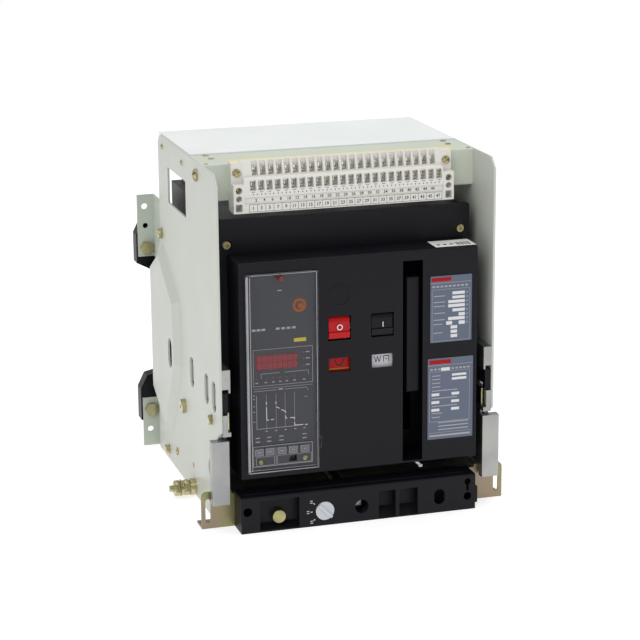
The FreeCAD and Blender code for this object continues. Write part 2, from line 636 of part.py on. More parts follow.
def earth_stud():
    """M10 earthing stud low on the left plate, with its nuts and washers."""
    centre = ("137", "13")
    shank = rod("stud_shank", "5", "x", ("-plate_outer - 27.5", "-plate_outer + plate_sheet"), centre)
    end = rod("stud_end", "4.25", "x", ("-plate_outer - 33", "-plate_outer - 27.5"), centre)
    stud = join("stud_solid", shank, end)
    keep("earth_stud", cut("stud", stud, rod("stud_tip", "2", "x",
                                           ("-plate_outer - 34", "-plate_outer - 32.5"), centre)))
    rings = []
    for name, radius, start, end in (("plate_washer", 10, 0, 2), ("earth_washer", 10.5, 2, 7.5),
                                     ("spring_washer", 9, 15.5, 18), ("outer_washer", 10.5, 18, 19.5)):
        span = (f"-plate_outer - {end}", f"-plate_outer - {start}")
        rings.append(cut(name, rod(f"{name}_disc", radius, "x", span, centre),
                         rod(f"{name}_hole", "5", "x", span, centre)))
    for name, start, end in (("inner_nut", 7.5, 15.5), ("outer_nut", 19.5, 27.5)):
        span = (f"-plate_outer - {end}", f"-plate_outer - {start}")
        rings.append(cut(name, hexagon(f"{name}_hexagon", "17", "x", span, centre),
                         rod(f"{name}_hole", "5", "x", span, centre)))
    keep("earth_nuts", group("earth_nut_group", *rings))


def upper_guides():
    """Aluminium guides inside the plates that keep the breaker from tipping."""
    left = outline("upper_guide_left", "XZ", [
        ("-plate_outer + plate_sheet", "upper_rail_low"),
        ("-rail_inner - 2.2", "upper_rail_low"), ("-rail_inner - 2.2", "upper_rail_low - 4.5"),
        ("-rail_inner", "upper_rail_low - 4.5"), ("-rail_inner", "upper_rail_high"),
        ("-plate_outer + plate_sheet", "upper_rail_high")], ("0", "rail_rear"))
    keep("upper_guides", group("guide_group", left, mirror("upper_guide_right", left)))


def pull_rails():
    """Aluminium support rails that draw out, each with a lip for the breaker and an end block."""
    track = [("-rail_outer", "lip_low"), ("-rail_inner", "lip_low"), ("-rail_inner", "lip_high"),
             ("-rail_inner - 3.7", "lip_high"), ("-rail_inner - 3.7", "runner_high"),
             ("-rail_outer", "runner_high")]
    nose = outline("rail_track", "XZ", track, ("0", "rail_rear"))
    web = box("rail_web", ("-rail_outer", "-rail_inner - 2.6"), ("16", "rail_rear - 30"),
              ("foot_tall + 1", "lip_low"))
    hollow = box("rail_hollow", ("-rail_outer + 2", "-rail_inner - 4.6"), ("15", "rail_rear + 1"),
                 ("foot_tall + 8", "lip_low - 6"))
    block = box("rail_block", ("-grip_reach", "-rail_inner - 1.2"), ("grip_front", "16"),
                ("grip_low", "grip_high"))
    end_block = rounded("rail_block_rounded", block, 0.6, lambda middle, run: middle.y < 5.1)
    left = cut("rail_left", join("rail_blank", nose, web, end_block), hollow)
    keep("pull_rail_left", left)
    keep("pull_rail_right", mirror("rail_right", left))


# ---------------------------------------------------------------- base beam and racking gear
def base_beam():
    """Black moulded beam under the breaker: release, dial, crank hole and tool pockets."""
    whole = ("base_left", "base_right")
    shell = box("beam_shell", whole, ("front_end", "foot_front"), ("0", "base_high"))

    def top_front(middle, run):
        return middle.y < -11.9 and middle.z > 40 and abs(run.x) > 50
    shell = rounded("beam_shell_rounded", shell, 2, top_front)
    hollow = box("beam_hollow", ("base_left + base_wall", "base_right - base_wall"),
                 ("front_end + base_wall", "foot_front + 1"), ("base_wall", "base_high - base_wall"))
    open_shell = cut("beam_open_shell", shell, hollow)
    housings = [
        box("release_housing", ("-131", "-76"), ("front_end + 1", "4"), ("base_wall - 1", "base_high - 2")),
        rod("crank_boss", "crank_radius + 4", "y", ("front_end + 1", "front_end + crank_deep"),
            ("screw_x", "screw_z")),
        box("pocket_housing", ("17", "73"), ("front_end + 1", "6"), ("base_wall - 1", "base_high - 2")),
        rod("dial_boss", "dial_radius + 2", "y", ("front_end + 1", "front_end + 8"), ("dial_x", "dial_z"))]
    recesses = [
        outline("release_recess", "YZ", [("front_end - 1", "1.2"), ("0", "8"), ("0", "39.5"),
                                         ("front_end - 1", "39.5")], ("-127.7", "-79")),
        rod("release_bore", "button_radius + 0.4", "y", ("-1", "3"), ("button_x", "button_z")),
        rod("release_stem_bore", "button_stem + shaft_gap", "y", ("-1", "5"), ("button_x", "button_z")),
        rod("crank_hole", "crank_radius", "y", ("front_end - 1", "front_end + crank_deep + 1"),
            ("screw_x", "screw_z")),
        rod("dial_recess", "dial_radius + 0.4", "y", ("front_end - 1", "front_end + 4"),
            ("dial_x", "dial_z")),
        rod("dial_stem_bore", "dial_stem + shaft_gap", "y", ("front_end", "front_end + 9"),
            ("dial_x", "dial_z")),
        rod("left_hole", "5.5", "y", ("front_end - 1", "front_end + base_wall"), ("-142.5", "26.8")),
        rod("right_hole", "5", "y", ("front_end - 1", "0"), ("134", "17")),
        rod("right_key_hole", "4.2", "y", ("front_end - 1", "0"), ("134", "35.7")),
        box("right_key_slot", ("132.4", "135.6"), ("front_end - 1", "0"), ("24", "35.7")),
        rod("padlock_hole_top", "7", "y", ("front_end - 1", "0"), ("97.7", "22.7")),
        rod("padlock_hole_foot", "7", "y", ("front_end - 1", "0"), ("97.7", "17.3"))]
    for name, left, right in (("a", "20.3", "41.8"), ("b", "46.5", "70")):
        recesses.append(outline(f"pocket_{name}", "YZ", [
            ("front_end - 1", "1.6"), ("front_end + 2", "1.6"), ("2", "12"), ("2", "35.5"),
            ("front_end - 1", "35.5")], (left, right)))
    tab = box("beam_tab", ("base_right - 0.5", "base_right + 7.4"), ("0", "foot_front"), ("3.3", "23.7"))
    ridge = outline("beam_ridge", "YZ", [
        ("front_end + 8", "base_high - 0.5"), ("foot_front", "base_high - 0.5"),
        ("foot_front", "base_high + 1"), ("front_end + 11", "base_high + 1")],
        ("base_left + 6", "base_right - 14"))
    keep("base_beam", cut("beam_moulding", join("beam_solid", open_shell, *housings, tab, ridge),
                          *recesses))


def racking_gear():
    """Brass release button, position dial, racking screw and the carriage it drives."""
    face = rod("release_face", "button_radius", "y", ("-9", "0"), ("button_x", "button_z"))

    def face_rim(middle, run):
        return middle.y < -8.9
    cap = rounded("release_cap", face, 1, face_rim)
    stem = rod("release_stem", "button_stem", "y", ("-1", "34"), ("button_x", "button_z"))
    keep("release_button", join("release", cap, stem))

    disc = rod("dial_disc", "dial_radius", "y", ("front_end - 1", "front_end + 4"), ("dial_x", "dial_z"))
    grip = box("dial_grip", ("dial_x - 1.7", "dial_x + 1.7"), ("front_end - 3.5", "front_end - 0.5"),
               ("dial_z - dial_radius", "dial_z + dial_radius"))
    stem = rod("dial_stem_rod", "dial_stem", "y", ("front_end + 3", "36"), ("dial_x", "dial_z"))
    dial = join("dial_upright", disc, grip, stem)
    doc.recompute()
    pointer = doc.addObject("Part::Feature", "dial_turned")
    turned = dial.Shape.copy()
    centre = V(number("dial_x"), 0, number("dial_z"))
    turned.rotate(centre, V(0, 1, 0), -45)
    pointer.Shape = turned
    keep("position_dial", pointer)

    thread = rod("screw_thread", "screw_radius", "y", ("14", "screw_rear"), ("screw_x", "screw_z"))
    square = box("screw_square", ("screw_x - 4", "screw_x + 4"), ("4", "14.5"),
                 ("screw_z - 4", "screw_z + 4"))
    keep("racking_screw", join("screw", thread, square))

    bar = box("carriage_bar", ("-140", "140"), ("carriage_front", "carriage_front + carriage_deep"),
              ("tray_sheet + 0.4", "case_low - 0.4"))
    hollows = [box(f"carriage_hollow_{i}", x, ("carriage_front - 1", "carriage_front + carriage_deep + 1"),
                   ("8", "case_low - 8")) for i, x in enumerate((("-132", "-20"), ("18", "132")))]
    nut = rod("carriage_nut", "screw_radius + shaft_gap", "y",
              ("carriage_front - 1", "carriage_front + carriage_deep + 1"), ("screw_x", "screw_z"))
    keep("carriage", cut("carriage_beam", bar, *hollows, nut))


# ---------------------------------------------------------------- breaker housing
def pole_case():
    """Black moulded case: three open-topped chambers, slots for links, terminals and shafts."""
    outside = box("case_outside", ("-case_half", "case_half"), ("case_front", "case_rear"),
                  ("case_low", "case_high"))
    cuts = []
    for i, x in enumerate(POLES):
        cuts.append(box(f"chamber_{i}", (f"({x}) - 43", f"({x}) + 43"),
                        ("case_front + case_wall", "case_rear - case_wall"),
                        ("case_low + case_wall", "case_high + 1")))
        cuts.append(box(f"link_window_{i}", (f"({x}) - 14", f"({x}) + 14"),
                        ("case_front - 1", "case_front + case_wall + 1"), ("160", "196")))
        cuts += [box(f"case_window_{i}_{level}", (f"({x}) - bar_half", f"({x}) + bar_half"),
                     ("case_rear - case_wall - 1", "case_rear + 1"),
                     (f"{level} - bar_thick / 2", f"{level} + bar_thick / 2")) for level in LEVELS]
    pivot = rod("carrier_pivot_bore", "5", "x", ("-case_half - 1", "case_half + 1"),
                ("carrier_y", "shaft_z"))
    keep("pole_case", cut("case", outside, *cuts, pivot))


def body_panel():
    """Front half of the housing: a face plate with a box behind it that closes on the pole case."""
    face = box("panel_face", ("cover_middle - panel_half", "cover_middle + panel_half - 1"),
               ("panel_front", "panel_front + panel_thick"), ("panel_low", "panel_high"))

    def corners(middle, run):
        return middle.z > 360 and abs(run.y) > 5 and abs(run.x) + abs(run.z) < 0.1
    face = rounded("panel_face_rounded", face, 3, corners)
    hood = box("panel_hood", ("-case_half", "case_half"), ("panel_front + panel_thick - 1", "case_front"),
               ("panel_low", "case_high"))
    inside = box("panel_inside", ("-case_half + 4", "case_half - 4"),
                 ("panel_front + panel_thick", "case_front + 1"), ("panel_low + 4", "case_high - 4"))
    openings = [
        box("panel_unit_opening", ("unit_left + 1", "unit_right - 1"),
            ("panel_front - 1", "panel_front + panel_thick + 1"), ("unit_low + 1", "unit_high - 1")),
        box("panel_handle_opening", ("handle_left - 4", "handle_right + 4"),
            ("panel_front - 1", "panel_front + panel_thick + 1"), ("88", "245")),
        box("panel_mechanism_opening", ("frame_left", "frame_right"),
            ("panel_front - 1", "panel_front + panel_thick + 1"), ("108", "258"))]
    screw_seats = [rod(f"panel_screw_seat{i}", "6", "y", ("panel_front - 1", "panel_front + 3"),
                       (x, "panel_screw_z")) for i, x in enumerate(("-panel_screw_x", "panel_screw_x"))]
    keep("body_panel", cut("panel", join("panel_solid", cut("panel_box", hood, inside), face),
                           *openings, *screw_seats))
    screws = [cut(f"panel_screw{i}",
                  rod(f"panel_screw_head{i}", "4.6", "y", ("panel_front + 0.6", "panel_front + 3"),
                      (x, "panel_screw_z")),
                  box(f"panel_screw_cross{i}a", (f"({x}) - 2.6", f"({x}) + 2.6"),
                      ("panel_front", "panel_front + 1.6"), ("panel_screw_z - 0.5", "panel_screw_z + 0.5")),
                  box(f"panel_screw_cross{i}b", (f"({x}) - 0.5", f"({x}) + 0.5"),
                      ("panel_front", "panel_front + 1.6"), ("panel_screw_z - 2.6", "panel_screw_z + 2.6")))
              for i, x in enumerate(("-panel_screw_x", "panel_screw_x"))]
    keep("panel_screws", group("panel_screw_group", *screws))


def front_cover():
    """Black moulded cover over the controller, buttons, indicators and charging handle."""
    left, right = "cover_middle - cover_wide / 2", "cover_middle + cover_wide / 2"
    outside = box("cover_outside", (left, right), ("0", "panel_front"), ("cover_low", "cover_high"))

    def rim(middle, run):
        return middle.y < 0.1 or (abs(run.y) > 20)
    outside = rounded("cover_rounded", outside, 1.5, rim)
    inside = box("cover_inside", (f"{left} + cover_wall", f"{right} - cover_wall"),
                 ("cover_wall", "panel_front + 1"), ("cover_low + cover_wall", "cover_high - cover_wall"))
    through = ("-1", "cover_wall + 1")
    button_sides = {"open": "open_x", "close": "close_x"}
    openings = [box("unit_opening", ("unit_left - 0.6", "unit_right + 0.6"), through,
                    ("unit_low - 0.6", "unit_high + 0.6"))]
    for name, x in button_sides.items():
        openings.append(box(f"{name}_opening", (f"{x} - push_wide / 2 - 1.2", f"{x} + push_wide / 2 + 1.2"),
                            through, ("push_low - 1", "push_high + 1.2")))
        openings.append(box(f"{name}_window", (f"{x} - 13.3", f"{x} + 13.3"), through, ("186", "203")))
    openings.append(box("handle_slot", ("54.5", "79.7"), through, ("cover_low + 3", "314")))
    ring = cut("lock_ring", rod("lock_ring_outside", "13.2", "y", ("-0.6", "1"), ("-23.5", "278.6")),
               rod("lock_ring_inside", "11.6", "y", ("-0.7", "0"), ("-23.5", "278.6")))
    guides = []
    for name, x in button_sides.items():
        for side in "-+":
            edge = f"{x} {side} (flag_wide / 2 + 1)"
            guides.append(box(f"{name}_flag_guide_{'left' if side == '-' else 'right'}",
                              (f"{edge} - 0.9", f"{edge} + 0.9"),
                              ("cover_wall - 0.2", "flag_front + flag_thick + 2"), ("158", "222")))
    shell = cut("cover_shell", outside, inside, *openings)
    keep("front_cover", join("cover", shell, ring, *guides))


def rating_plates():
    """Printed aluminium data plates stuck on the front cover."""
    for node, x, z in (("rating_plate_upper", ("88.8", "141.2"), ("211", "292.5")),
                       ("rating_plate_lower", ("86", "143.6"), ("89.8", "191.2"))):
        plate = box(f"{node}_blank", x, ("-0.8", "0"), z)
        keep(node, rounded(f"{node}_cut", plate, 1,
                           lambda middle, run: abs(run.y) > 0.5 and abs(run.x) < 0.1))


# ---------------------------------------------------------------- controller
KEYS = ("-124", "-110.8", "-96", "-82.3", "-67.6")


def controller():
    """Electronic trip unit: grey case, red display lens, two brass screws and five keys."""
    case = box("unit_case", ("unit_left + 1", "unit_right - 1"), ("unit_face", "unit_deep"),
               ("unit_low + 1", "unit_high - 1"))
    block = box("unit_key_block", ("unit_left + 4", "unit_right - 6"), ("unit_face - 1.5", "unit_face + 1"),
                ("key_low - 14", "key_low + key_tall + 3"))
    inside = box("unit_inside", ("unit_left + 4", "unit_right - 4"), ("unit_face + 8", "unit_deep - 3"),
                 ("unit_low + 4", "unit_high - 4"))
    lens_seat = box("unit_lens_seat", ("-126", "-75"), ("unit_face - 1", "unit_face + 1.5"),
                    ("195.5", "213"))
    reset_bore = rod("unit_reset_bore", "reset_radius + shaft_gap", "y", ("unit_face - 1", "unit_face + 9"),
                     ("reset_x", "reset_z"))
    socket = box("unit_socket", ("-86.7", "-77.6"), ("unit_face - 2", "unit_face + 5"), ("80.5", "87.8"))
    key_wells = []
    for i, x in enumerate(KEYS):
        key_wells.append(box(f"unit_key_well{i}", (f"{x} - key_wide / 2 - 0.3", f"{x} + key_wide / 2 + 0.3"),
                             ("unit_face - 2", "unit_face + 5"),
                             ("key_low - 0.3", "key_low + key_tall + 0.3")))
    screw_spots = (("-121.3", "82"), ("-67.2", "82.6"))
    screw_wells = [rod(f"unit_screw_well{i}", "3.2", "y", ("unit_face - 2", "unit_face + 1"), spot)
                   for i, spot in enumerate(screw_spots)]
    keep("controller_case", cut("unit", join("unit_solid", case, block), inside, lens_seat, reset_bore,
                                socket, *key_wells, *screw_wells))
    lens = box("unit_lens", ("-126", "-75"), ("unit_face - 0.2", "unit_face + 1.5"), ("195.5", "213"))
    keep("display_lens", lens)
    screws = [cut(f"unit_screw{i}",
                  rod(f"unit_screw_head{i}", "2.8", "y", ("unit_face - 1.2", "unit_face + 1"), spot),
                  box(f"unit_screw_slot{i}", (f"{spot[0]} - 2", f"{spot[0]} + 2"),
                      ("unit_face - 2", "unit_face - 0.4"), (f"{spot[1]} - 0.4", f"{spot[1]} + 0.4")))
              for i, spot in enumerate(screw_spots)]
    keep("controller_screws", group("unit_screw_group", *screws))
    for i, x in enumerate(KEYS, start=1):
        key = box(f"key_blank_{i}", (f"{x} - key_wide / 2", f"{x} + key_wide / 2"),
                  ("unit_face - 2.4", "unit_face + 3.4"), ("key_low", "key_low + key_tall"))
        keep(f"key_{i}", rounded(f"key_moulded_{i}", key, 0.5, lambda middle, run: middle.y < 1))
    button = rod("reset_stem", "reset_radius", "y", ("lid_front - 2.5", "unit_face + 6"),
                 ("reset_x", "reset_z"))
    keep("reset_button", rounded("reset", button, 0.8, lambda middle, run: middle.y < -5))


def clear_lid():
    """Clear moulded lid over the controller, hinged on its left edge."""
    outside = box("lid_outside", ("unit_left", "unit_right"), ("lid_front", "-fit_gap"),
                  ("unit_low", "unit_high"))
    outside = rounded("lid_rounded", outside, 0.9, lambda middle, run: middle.y < number("lid_front") + 0.1)
    inside = box("lid_inside", ("unit_left + lid_wall", "unit_right - lid_wall"),
                 ("lid_front + lid_wall", "1"), ("unit_low + lid_wall", "unit_high - lid_wall"))
    barrel = rod("lid_barrel", "1.6", "z", ("unit_low", "unit_high"), ("unit_left", "lid_front + 1.9"))
    latch = box("lid_latch", ("unit_right - 1", "unit_right + 3"), ("lid_front + 0.6", "-fit_gap"),
                ("95", "109"))
    reset_hole = rod("lid_reset_hole", "reset_radius + 1.2", "y", ("lid_front - 1", "0"),
                     ("reset_x", "reset_z"))
    keep("clear_lid", cut("lid", join("lid_solid", cut("lid_tray", outside, inside), barrel, latch),
                          reset_hole))


# ---------------------------------------------------------------- buttons, flags and handle
def operating_buttons():
    """Opening and closing push buttons with dished faces and guide stems."""
    for node, x in (("off_button", "open_x"), ("on_button", "close_x")):
        cap = outline(f"{node}_cap", "YZ", [
            ("3.4", "push_low"), ("1.2", "push_low + 1"), ("0", "push_low + 8.5"),
            ("2", "push_low + 9.5"), ("2", "push_high - 5.5"), ("0.4", "push_high - 4.5"),
            ("3.4", "push_high"), ("12", "push_high"), ("12", "push_low")],
            (f"{x} - push_wide / 2", f"{x} + push_wide / 2"))
        stem = rod(f"{node}_stem", "5", "y", ("11", "40"), (x, "(push_low + push_high) / 2"))
        keep(node, join(f"{node}_solid", cap, stem))


def indicator_flags():
    """Two sliding flags behind the cover's windows."""
    for node, x, low in (("contact_flag", "open_x", "184.8"), ("charge_flag", "close_x", "184.8")):
        keep(node, box(f"{node}_plate", (f"{x} - flag_wide / 2", f"{x} + flag_wide / 2"),
                       ("flag_front", "flag_front + flag_thick"), (low, f"{low} + 37.5")))


def charging_handle():
    """Moulded charging lever on a pin in the mechanism; it is pulled down and forward."""
    lever = outline("lever", "YZ", [
        ("handle_front", "handle_low"), ("handle_front + 22", "handle_low"),
        ("pivot_y - 10", "pivot_z - 12"), ("pivot_y + 10", "pivot_z - 4"),
        ("pivot_y + 2", "pivot_z + 13"), ("handle_front + 26", "handle_low + 76"),
        ("handle_front + 17", "handle_high"), ("handle_front", "handle_high")],
        ("handle_left", "handle_right"))

    def grip_edges(middle, run):
        return middle.y < number("handle_front") + 0.1
    lever = rounded("lever_rounded", lever, 2, grip_edges)
    hub = rod("lever_hub", "14", "x", ("handle_left", "handle_right"), ("pivot_y", "pivot_z"))
    bore = rod("lever_bore", "pivot_radius + shaft_gap", "x", ("handle_left - 1", "handle_right + 1"),
               ("pivot_y", "pivot_z"))
    keep("charging_handle", cut("handle", join("handle_solid", lever, hub), bore))


# ---------------------------------------------------------------- mechanism and poles
def mechanism():
    """Two steel plates joined by spacers, with the handle's pin; cam shaft, crosshead, spring."""
    plates = []
    for i, left in enumerate(("frame_left", "frame_right")):
        plates.append(box(f"frame_plate{i}", (left, f"{left} + frame_sheet"),
                          ("panel_front + panel_thick", "case_front"),
                          ("frame_low", "frame_high")))
    spacers = [rod(f"frame_spacer{i}", "5", "x", ("frame_left", "frame_right + frame_sheet"), spot)
               for i, spot in enumerate((("150", "238"), ("70", "104"), ("150", "104")))]
    foot = box("frame_spring_seat", ("frame_left", "frame_right"), ("cam_y - 16", "cam_y + 16"),
               ("spring_low - 4", "spring_low"))
    handle_pin = rod("frame_handle_pin", "pivot_radius", "x", ("frame_right", "handle_right + 5"),
                     ("pivot_y", "pivot_z"))
    bores = [rod("frame_main_bore", "shaft_radius + shaft_gap", "x", ("frame_left - 1", "frame_right + 5"),
                 ("shaft_y", "shaft_z")),
             rod("frame_cam_bore", "cam_shaft_radius + shaft_gap", "x", ("frame_left - 1", "frame_right + 5"),
                 ("cam_y", "cam_z"))]
    keep("mechanism_frame", cut("frame", join("frame_solid", *plates, *spacers, foot, handle_pin), *bores))

    arbor = rod("cam_arbor", "cam_shaft_radius", "x", ("frame_left - 6", "frame_right + 10"),
                ("cam_y", "cam_z"))
    ratchet = rod("cam_ratchet", "22", "x", ("frame_right - 8", "frame_right - 2"), ("cam_y", "cam_z"))
    disc = doc.addObject("Part::Feature", "cam_disc")
    # The radius grows evenly over half a turn, so the crosshead moves in step with the shaft.
    points = []
    for step in range(37):
        turn = math.radians(step * 10)
        rise = step / 18 if step <= 18 else (36 - step) / 18
        radius = number("cam_least") + number("cam_lift") * rise
        points.append(V(-3, radius * math.sin(turn) + number("plate_front + cam_y"),
                        number("cam_z") - radius * math.cos(turn)))
    rising, falling = Part.BSplineCurve(), Part.BSplineCurve()
    rising.interpolate(points[:19])
    falling.interpolate(points[18:])
    edge = Part.Wire([rising.toShape(), falling.toShape()])
    disc.Shape = Part.Face(edge).extrude(V(9, 0, 0))
    keep("cam_shaft", join("cam", arbor, ratchet, disc))

    nose = "cam_z - cam_least - 2.5"
    bridge = box("crosshead_bridge", ("frame_left + frame_sheet + 0.5", "frame_right - 0.5"),
                 ("cam_y - 12", "cam_y + 12"), (f"{nose} - 14", f"{nose} - 8"))
    post = box("crosshead_post", ("-6", "10"), ("cam_y - 3", "cam_y + 3"), (f"{nose} - 9", f"{nose} - 3"))
    roller = rod("crosshead_roller", "3", "x", ("-6", "10"), ("cam_y", f"{nose} - 3"))
    keep("crosshead", join("crosshead_solid", bridge, post, roller))

    spring_top = f"{nose} - 14"
    coils = [cut(f"spring_{i}",
                 rod(f"spring_outside{i}", "spring_radius", "z", ("spring_low", spring_top), (x, "cam_y")),
                 rod(f"spring_bore{i}", "spring_radius - 2 * spring_wire", "z", ("spring_low", spring_top),
                     (x, "cam_y"))) for i, x in enumerate(("-20", "26"))]
    keep("closing_springs", group("spring_group", *coils))


def turned_about(name, feature, y, z, angle):
    """A copy of a feature turned about an x axis through y and z."""
    doc.recompute()
    turned = doc.addObject("Part::Feature", name)
    shape = feature.Shape.copy()
    shape.rotate(V(0, number(f"plate_front + {y}"), number(z)), V(1, 0, 0), angle)
    turned.Shape = shape
    return turned


def contact_drive():
    """Main shaft with a lever per pole, insulating links and contact carriers, drawn open.

    Shaft levers and carrier arms are equal and parallel, so each link stays level.
    """
    opened = number("open_angle")
    shaft = rod("main_shaft_rod", "shaft_radius", "x", ("-142", "142"), ("shaft_y", "shaft_z"))
    levers = []
    carriers = []
    links = []
    drop = f"crank_arm * cos(open_angle * 1deg)"
    back = f"-crank_arm * sin(open_angle * 1deg)"
    for i, x in enumerate(POLES):
        for side, (near, far) in enumerate(((-12, -7.5), (7.5, 12))):
            levers.append(box(f"lever_{i}{side}", (f"({x}) + {near}", f"({x}) + {far}"),
                              ("shaft_y - 7", "shaft_y + 7"), ("shaft_z", "shaft_z + crank_arm + 8")))
        levers.append(rod(f"lever_pin_{i}", "link_radius", "x", (f"({x}) - 12", f"({x}) + 12"),
                          ("shaft_y", "shaft_z + crank_arm")))
        pin_level = f"shaft_z + {drop}"
        link = box(f"link_bar_{i}", (f"({x}) - 7", f"({x}) + 7"),
                   (f"shaft_y + {back} - 8", f"carrier_y + {back} + 8"),
                   (f"{pin_level} - 7", f"{pin_level} + 7"))
        bores = [rod(f"link_bore_{i}{end}", "link_radius + shaft_gap", "x", (f"({x}) - 8", f"({x}) + 8"),
                     (f"{end} + {back}", pin_level)) for end in ("shaft_y", "carrier_y")]
        links.append(cut(f"link_{i}", link, *bores))
        hub = rod(f"carrier_hub_{i}", "9", "x", (f"({x}) - 36", f"({x}) + 36"), ("carrier_y", "shaft_z"))
        cheeks = [box(f"carrier_cheek_{i}{side}", (f"({x}) + {near}", f"({x}) + {far}"),
                      ("carrier_y - 9", "carrier_y + 9"), ("shaft_z", "shaft_z + crank_arm + 14"))
                  for side, (near, far) in enumerate(((-30, -12), (12, 30)))]
        pin = rod(f"carrier_pin_{i}", "link_radius", "x", (f"({x}) - 13", f"({x}) + 13"),
                  ("carrier_y", "shaft_z + crank_arm"))
        fingers = [box(f"finger_{i}_{n}", (f"({x}) - 30 + {n * 8.8}", f"({x}) - 30 + {n * 8.8 + 7.2}"),
                       ("carrier_y + 3", "carrier_y + 13"), ("shaft_z + crank_arm + 12", "272"))
                   for n in range(7)]
        pad = box(f"finger_pad_{i}", (f"({x}) - 30", f"({x}) + 30"), ("carrier_y + 13", "carrier_y + 21"),
                  ("246", "266"))
        bridge = box(f"finger_bridge_{i}", (f"({x}) - 30", f"({x}) + 30"),
                     ("carrier_y - 6", "carrier_y + 13"),
                     ("shaft_z + crank_arm + 12", "shaft_z + crank_arm + 26"))
        bore = rod(f"carrier_bore_{i}", "5 + shaft_gap", "x", (f"({x}) - 37", f"({x}) + 37"),
                   ("carrier_y", "shaft_z"))
        carriers.append(cut(f"carrier_{i}", join(f"carrier_solid_{i}", hub, *cheeks, pin, *fingers, pad,
                                                 bridge), bore))
    closed_shaft = join("main_shaft_closed", shaft, *levers)
    keep("main_shaft", turned_about("main_shaft_open", closed_shaft, "shaft_y", "shaft_z", opened))
    keep("contact_links", group("link_group", *links))
    closed_carriers = group("carriers_closed", *carriers)
    keep("moving_contacts", turned_about("carriers_open", closed_carriers, "carrier_y", "shaft_z", opened))
    keep("carrier_pin", rod("carrier_pin_rod", "5", "x", ("-case_half", "case_half"),
                            ("carrier_y", "shaft_z")))


def pole_parts():
    """Breaker terminals with the fixed contacts, arc chutes and current transformers."""
    bars = []
    chutes = []
    rings = []
    braids = []
    for i, x in enumerate(POLES):
        side = (f"({x}) - bar_half", f"({x}) + bar_half")
        upper = box(f"upper_bar_{i}", side, ("carrier_y + 26", "plug_end"),
                    ("upper_level - bar_thick / 2", "upper_level + bar_thick / 2"))
        contact = box(f"fixed_contact_{i}", side, ("carrier_y + 21 + fit_gap", "carrier_y + 27"),
                      ("upper_level - 15", "upper_level + 18"))
        bars.append(join(f"upper_terminal_{i}", upper, contact))
        lower = box(f"lower_bar_{i}", side, ("carrier_y - 24", "plug_end"),
                    ("lower_level - bar_thick / 2", "lower_level + bar_thick / 2"))
        strap = box(f"strap_{i}", side, ("carrier_y - 24", "carrier_y - 14"),
                    ("lower_level", "lower_level + 24"))
        bars.append(join(f"lower_terminal_{i}", lower, strap))
        braid = outline(f"braid_{i}", "YZ", [
            ("carrier_y - 14", "lower_level + 9"), ("carrier_y + 2", "lower_level + 9"),
            ("carrier_y + 6", "lower_level + 13"), ("carrier_y + 6", "shaft_z - 12"),
            ("carrier_y + 3", "shaft_z - 10"), ("carrier_y - 4", "shaft_z - 10"),
            ("carrier_y - 4", "lower_level + 19"), ("carrier_y - 14", "lower_level + 19")],
            (f"({x}) - 24", f"({x}) + 24"))
        braids.append(braid)
        chute = box(f"chute_block_{i}", (f"({x}) - 43", f"({x}) + 43"), ("205", "311"), ("288", "370"))
        throat = box(f"chute_throat_{i}", (f"({x}) - 37", f"({x}) + 37"), ("210", "306"), ("287", "302"))
        gaps = [box(f"chute_gap_{i}_{n}", (f"({x}) - 34", f"({x}) + 34"),
                    (f"{213 + 10.5 * n}", f"{219 + 10.5 * n}"),
                    ("301", "371")) for n in range(9)]
        chutes.append(cut(f"chute_{i}", chute, throat, *gaps))
        ring = box(f"ring_block_{i}", (f"({x}) - 42", f"({x}) + 42"), ("283", "310"),
                   ("lower_level - 34", "lower_level + 34"))
        hole = box(f"ring_hole_{i}", side, ("282", "311"),
                   ("lower_level - bar_thick / 2", "lower_level + bar_thick / 2"))
        rings.append(cut(f"ring_{i}", ring, hole))
    keep("breaker_terminals", group("breaker_bar_group", *bars))
    keep("arc_chutes", group("chute_group", *chutes))
    keep("current_transformers", group("ring_group", *rings))
    keep("flexible_braids", group("braid_group", *braids))


def auxiliaries():
    """Charging motor with its gearbox, three release coils and the breaker's runners."""
    motor = rod("motor_barrel", "22", "y", ("84", "129"), ("116", "128"))
    gearbox = box("motor_gearbox", ("92", "142"), ("panel_front + panel_thick", "86"), ("102", "190"))
    keep("charging_motor", join("motor", motor, gearbox))
    coils = []
    for i, x in enumerate(("-24", "4", "32")):
        body = box(f"coil_yoke_{i}", (f"({x}) - 12", f"({x}) + 12"),
                   ("panel_front + panel_thick", "100"), ("266", "312"))
        plunger = rod(f"coil_plunger_{i}", "4", "z", ("256", "267"), (x, "81"))
        coils.append(join(f"coil_{i}", body, plunger))
    keep("release_coils", group("coil_group", *coils))
    runner = outline("runner_left", "XZ", [
        ("-rail_inner - 2.2", "lip_high + fit_gap"), ("-rail_inner - 0.2", "lip_high + fit_gap"),
        ("-rail_inner - 0.2", "runner_high - 1"), ("-case_half", "runner_high - 1"),
        ("-case_half", "runner_high + 1"), ("-rail_inner - 2.2", "runner_high + 1")], ("62", "300"))
    nose = box("runner_nose", ("-rail_inner - 2.2", "-rail_inner - 0.2"), ("8", "63"),
               ("lip_high + fit_gap", "runner_high + 1"))
    left = join("runner_whole", runner, nose)
    keep("breaker_runners", group("runner_group", left, mirror("runner_right", left)))


side_plates()
plate_fixings()
top_cover()
cross_beam()
terminal_block()
foot_bar()
floor_tray()
rear_brackets()
rear_base()
cradle_terminals()
earth_stud()
upper_guides()
pull_rails()
base_beam()
racking_gear()
pole_case()
body_panel()
front_cover()
rating_plates()
controller()
clear_lid()
operating_buttons()
indicator_flags()
charging_handle()
mechanism()
contact_drive()
pole_parts()
auxiliaries()
doc.recompute()

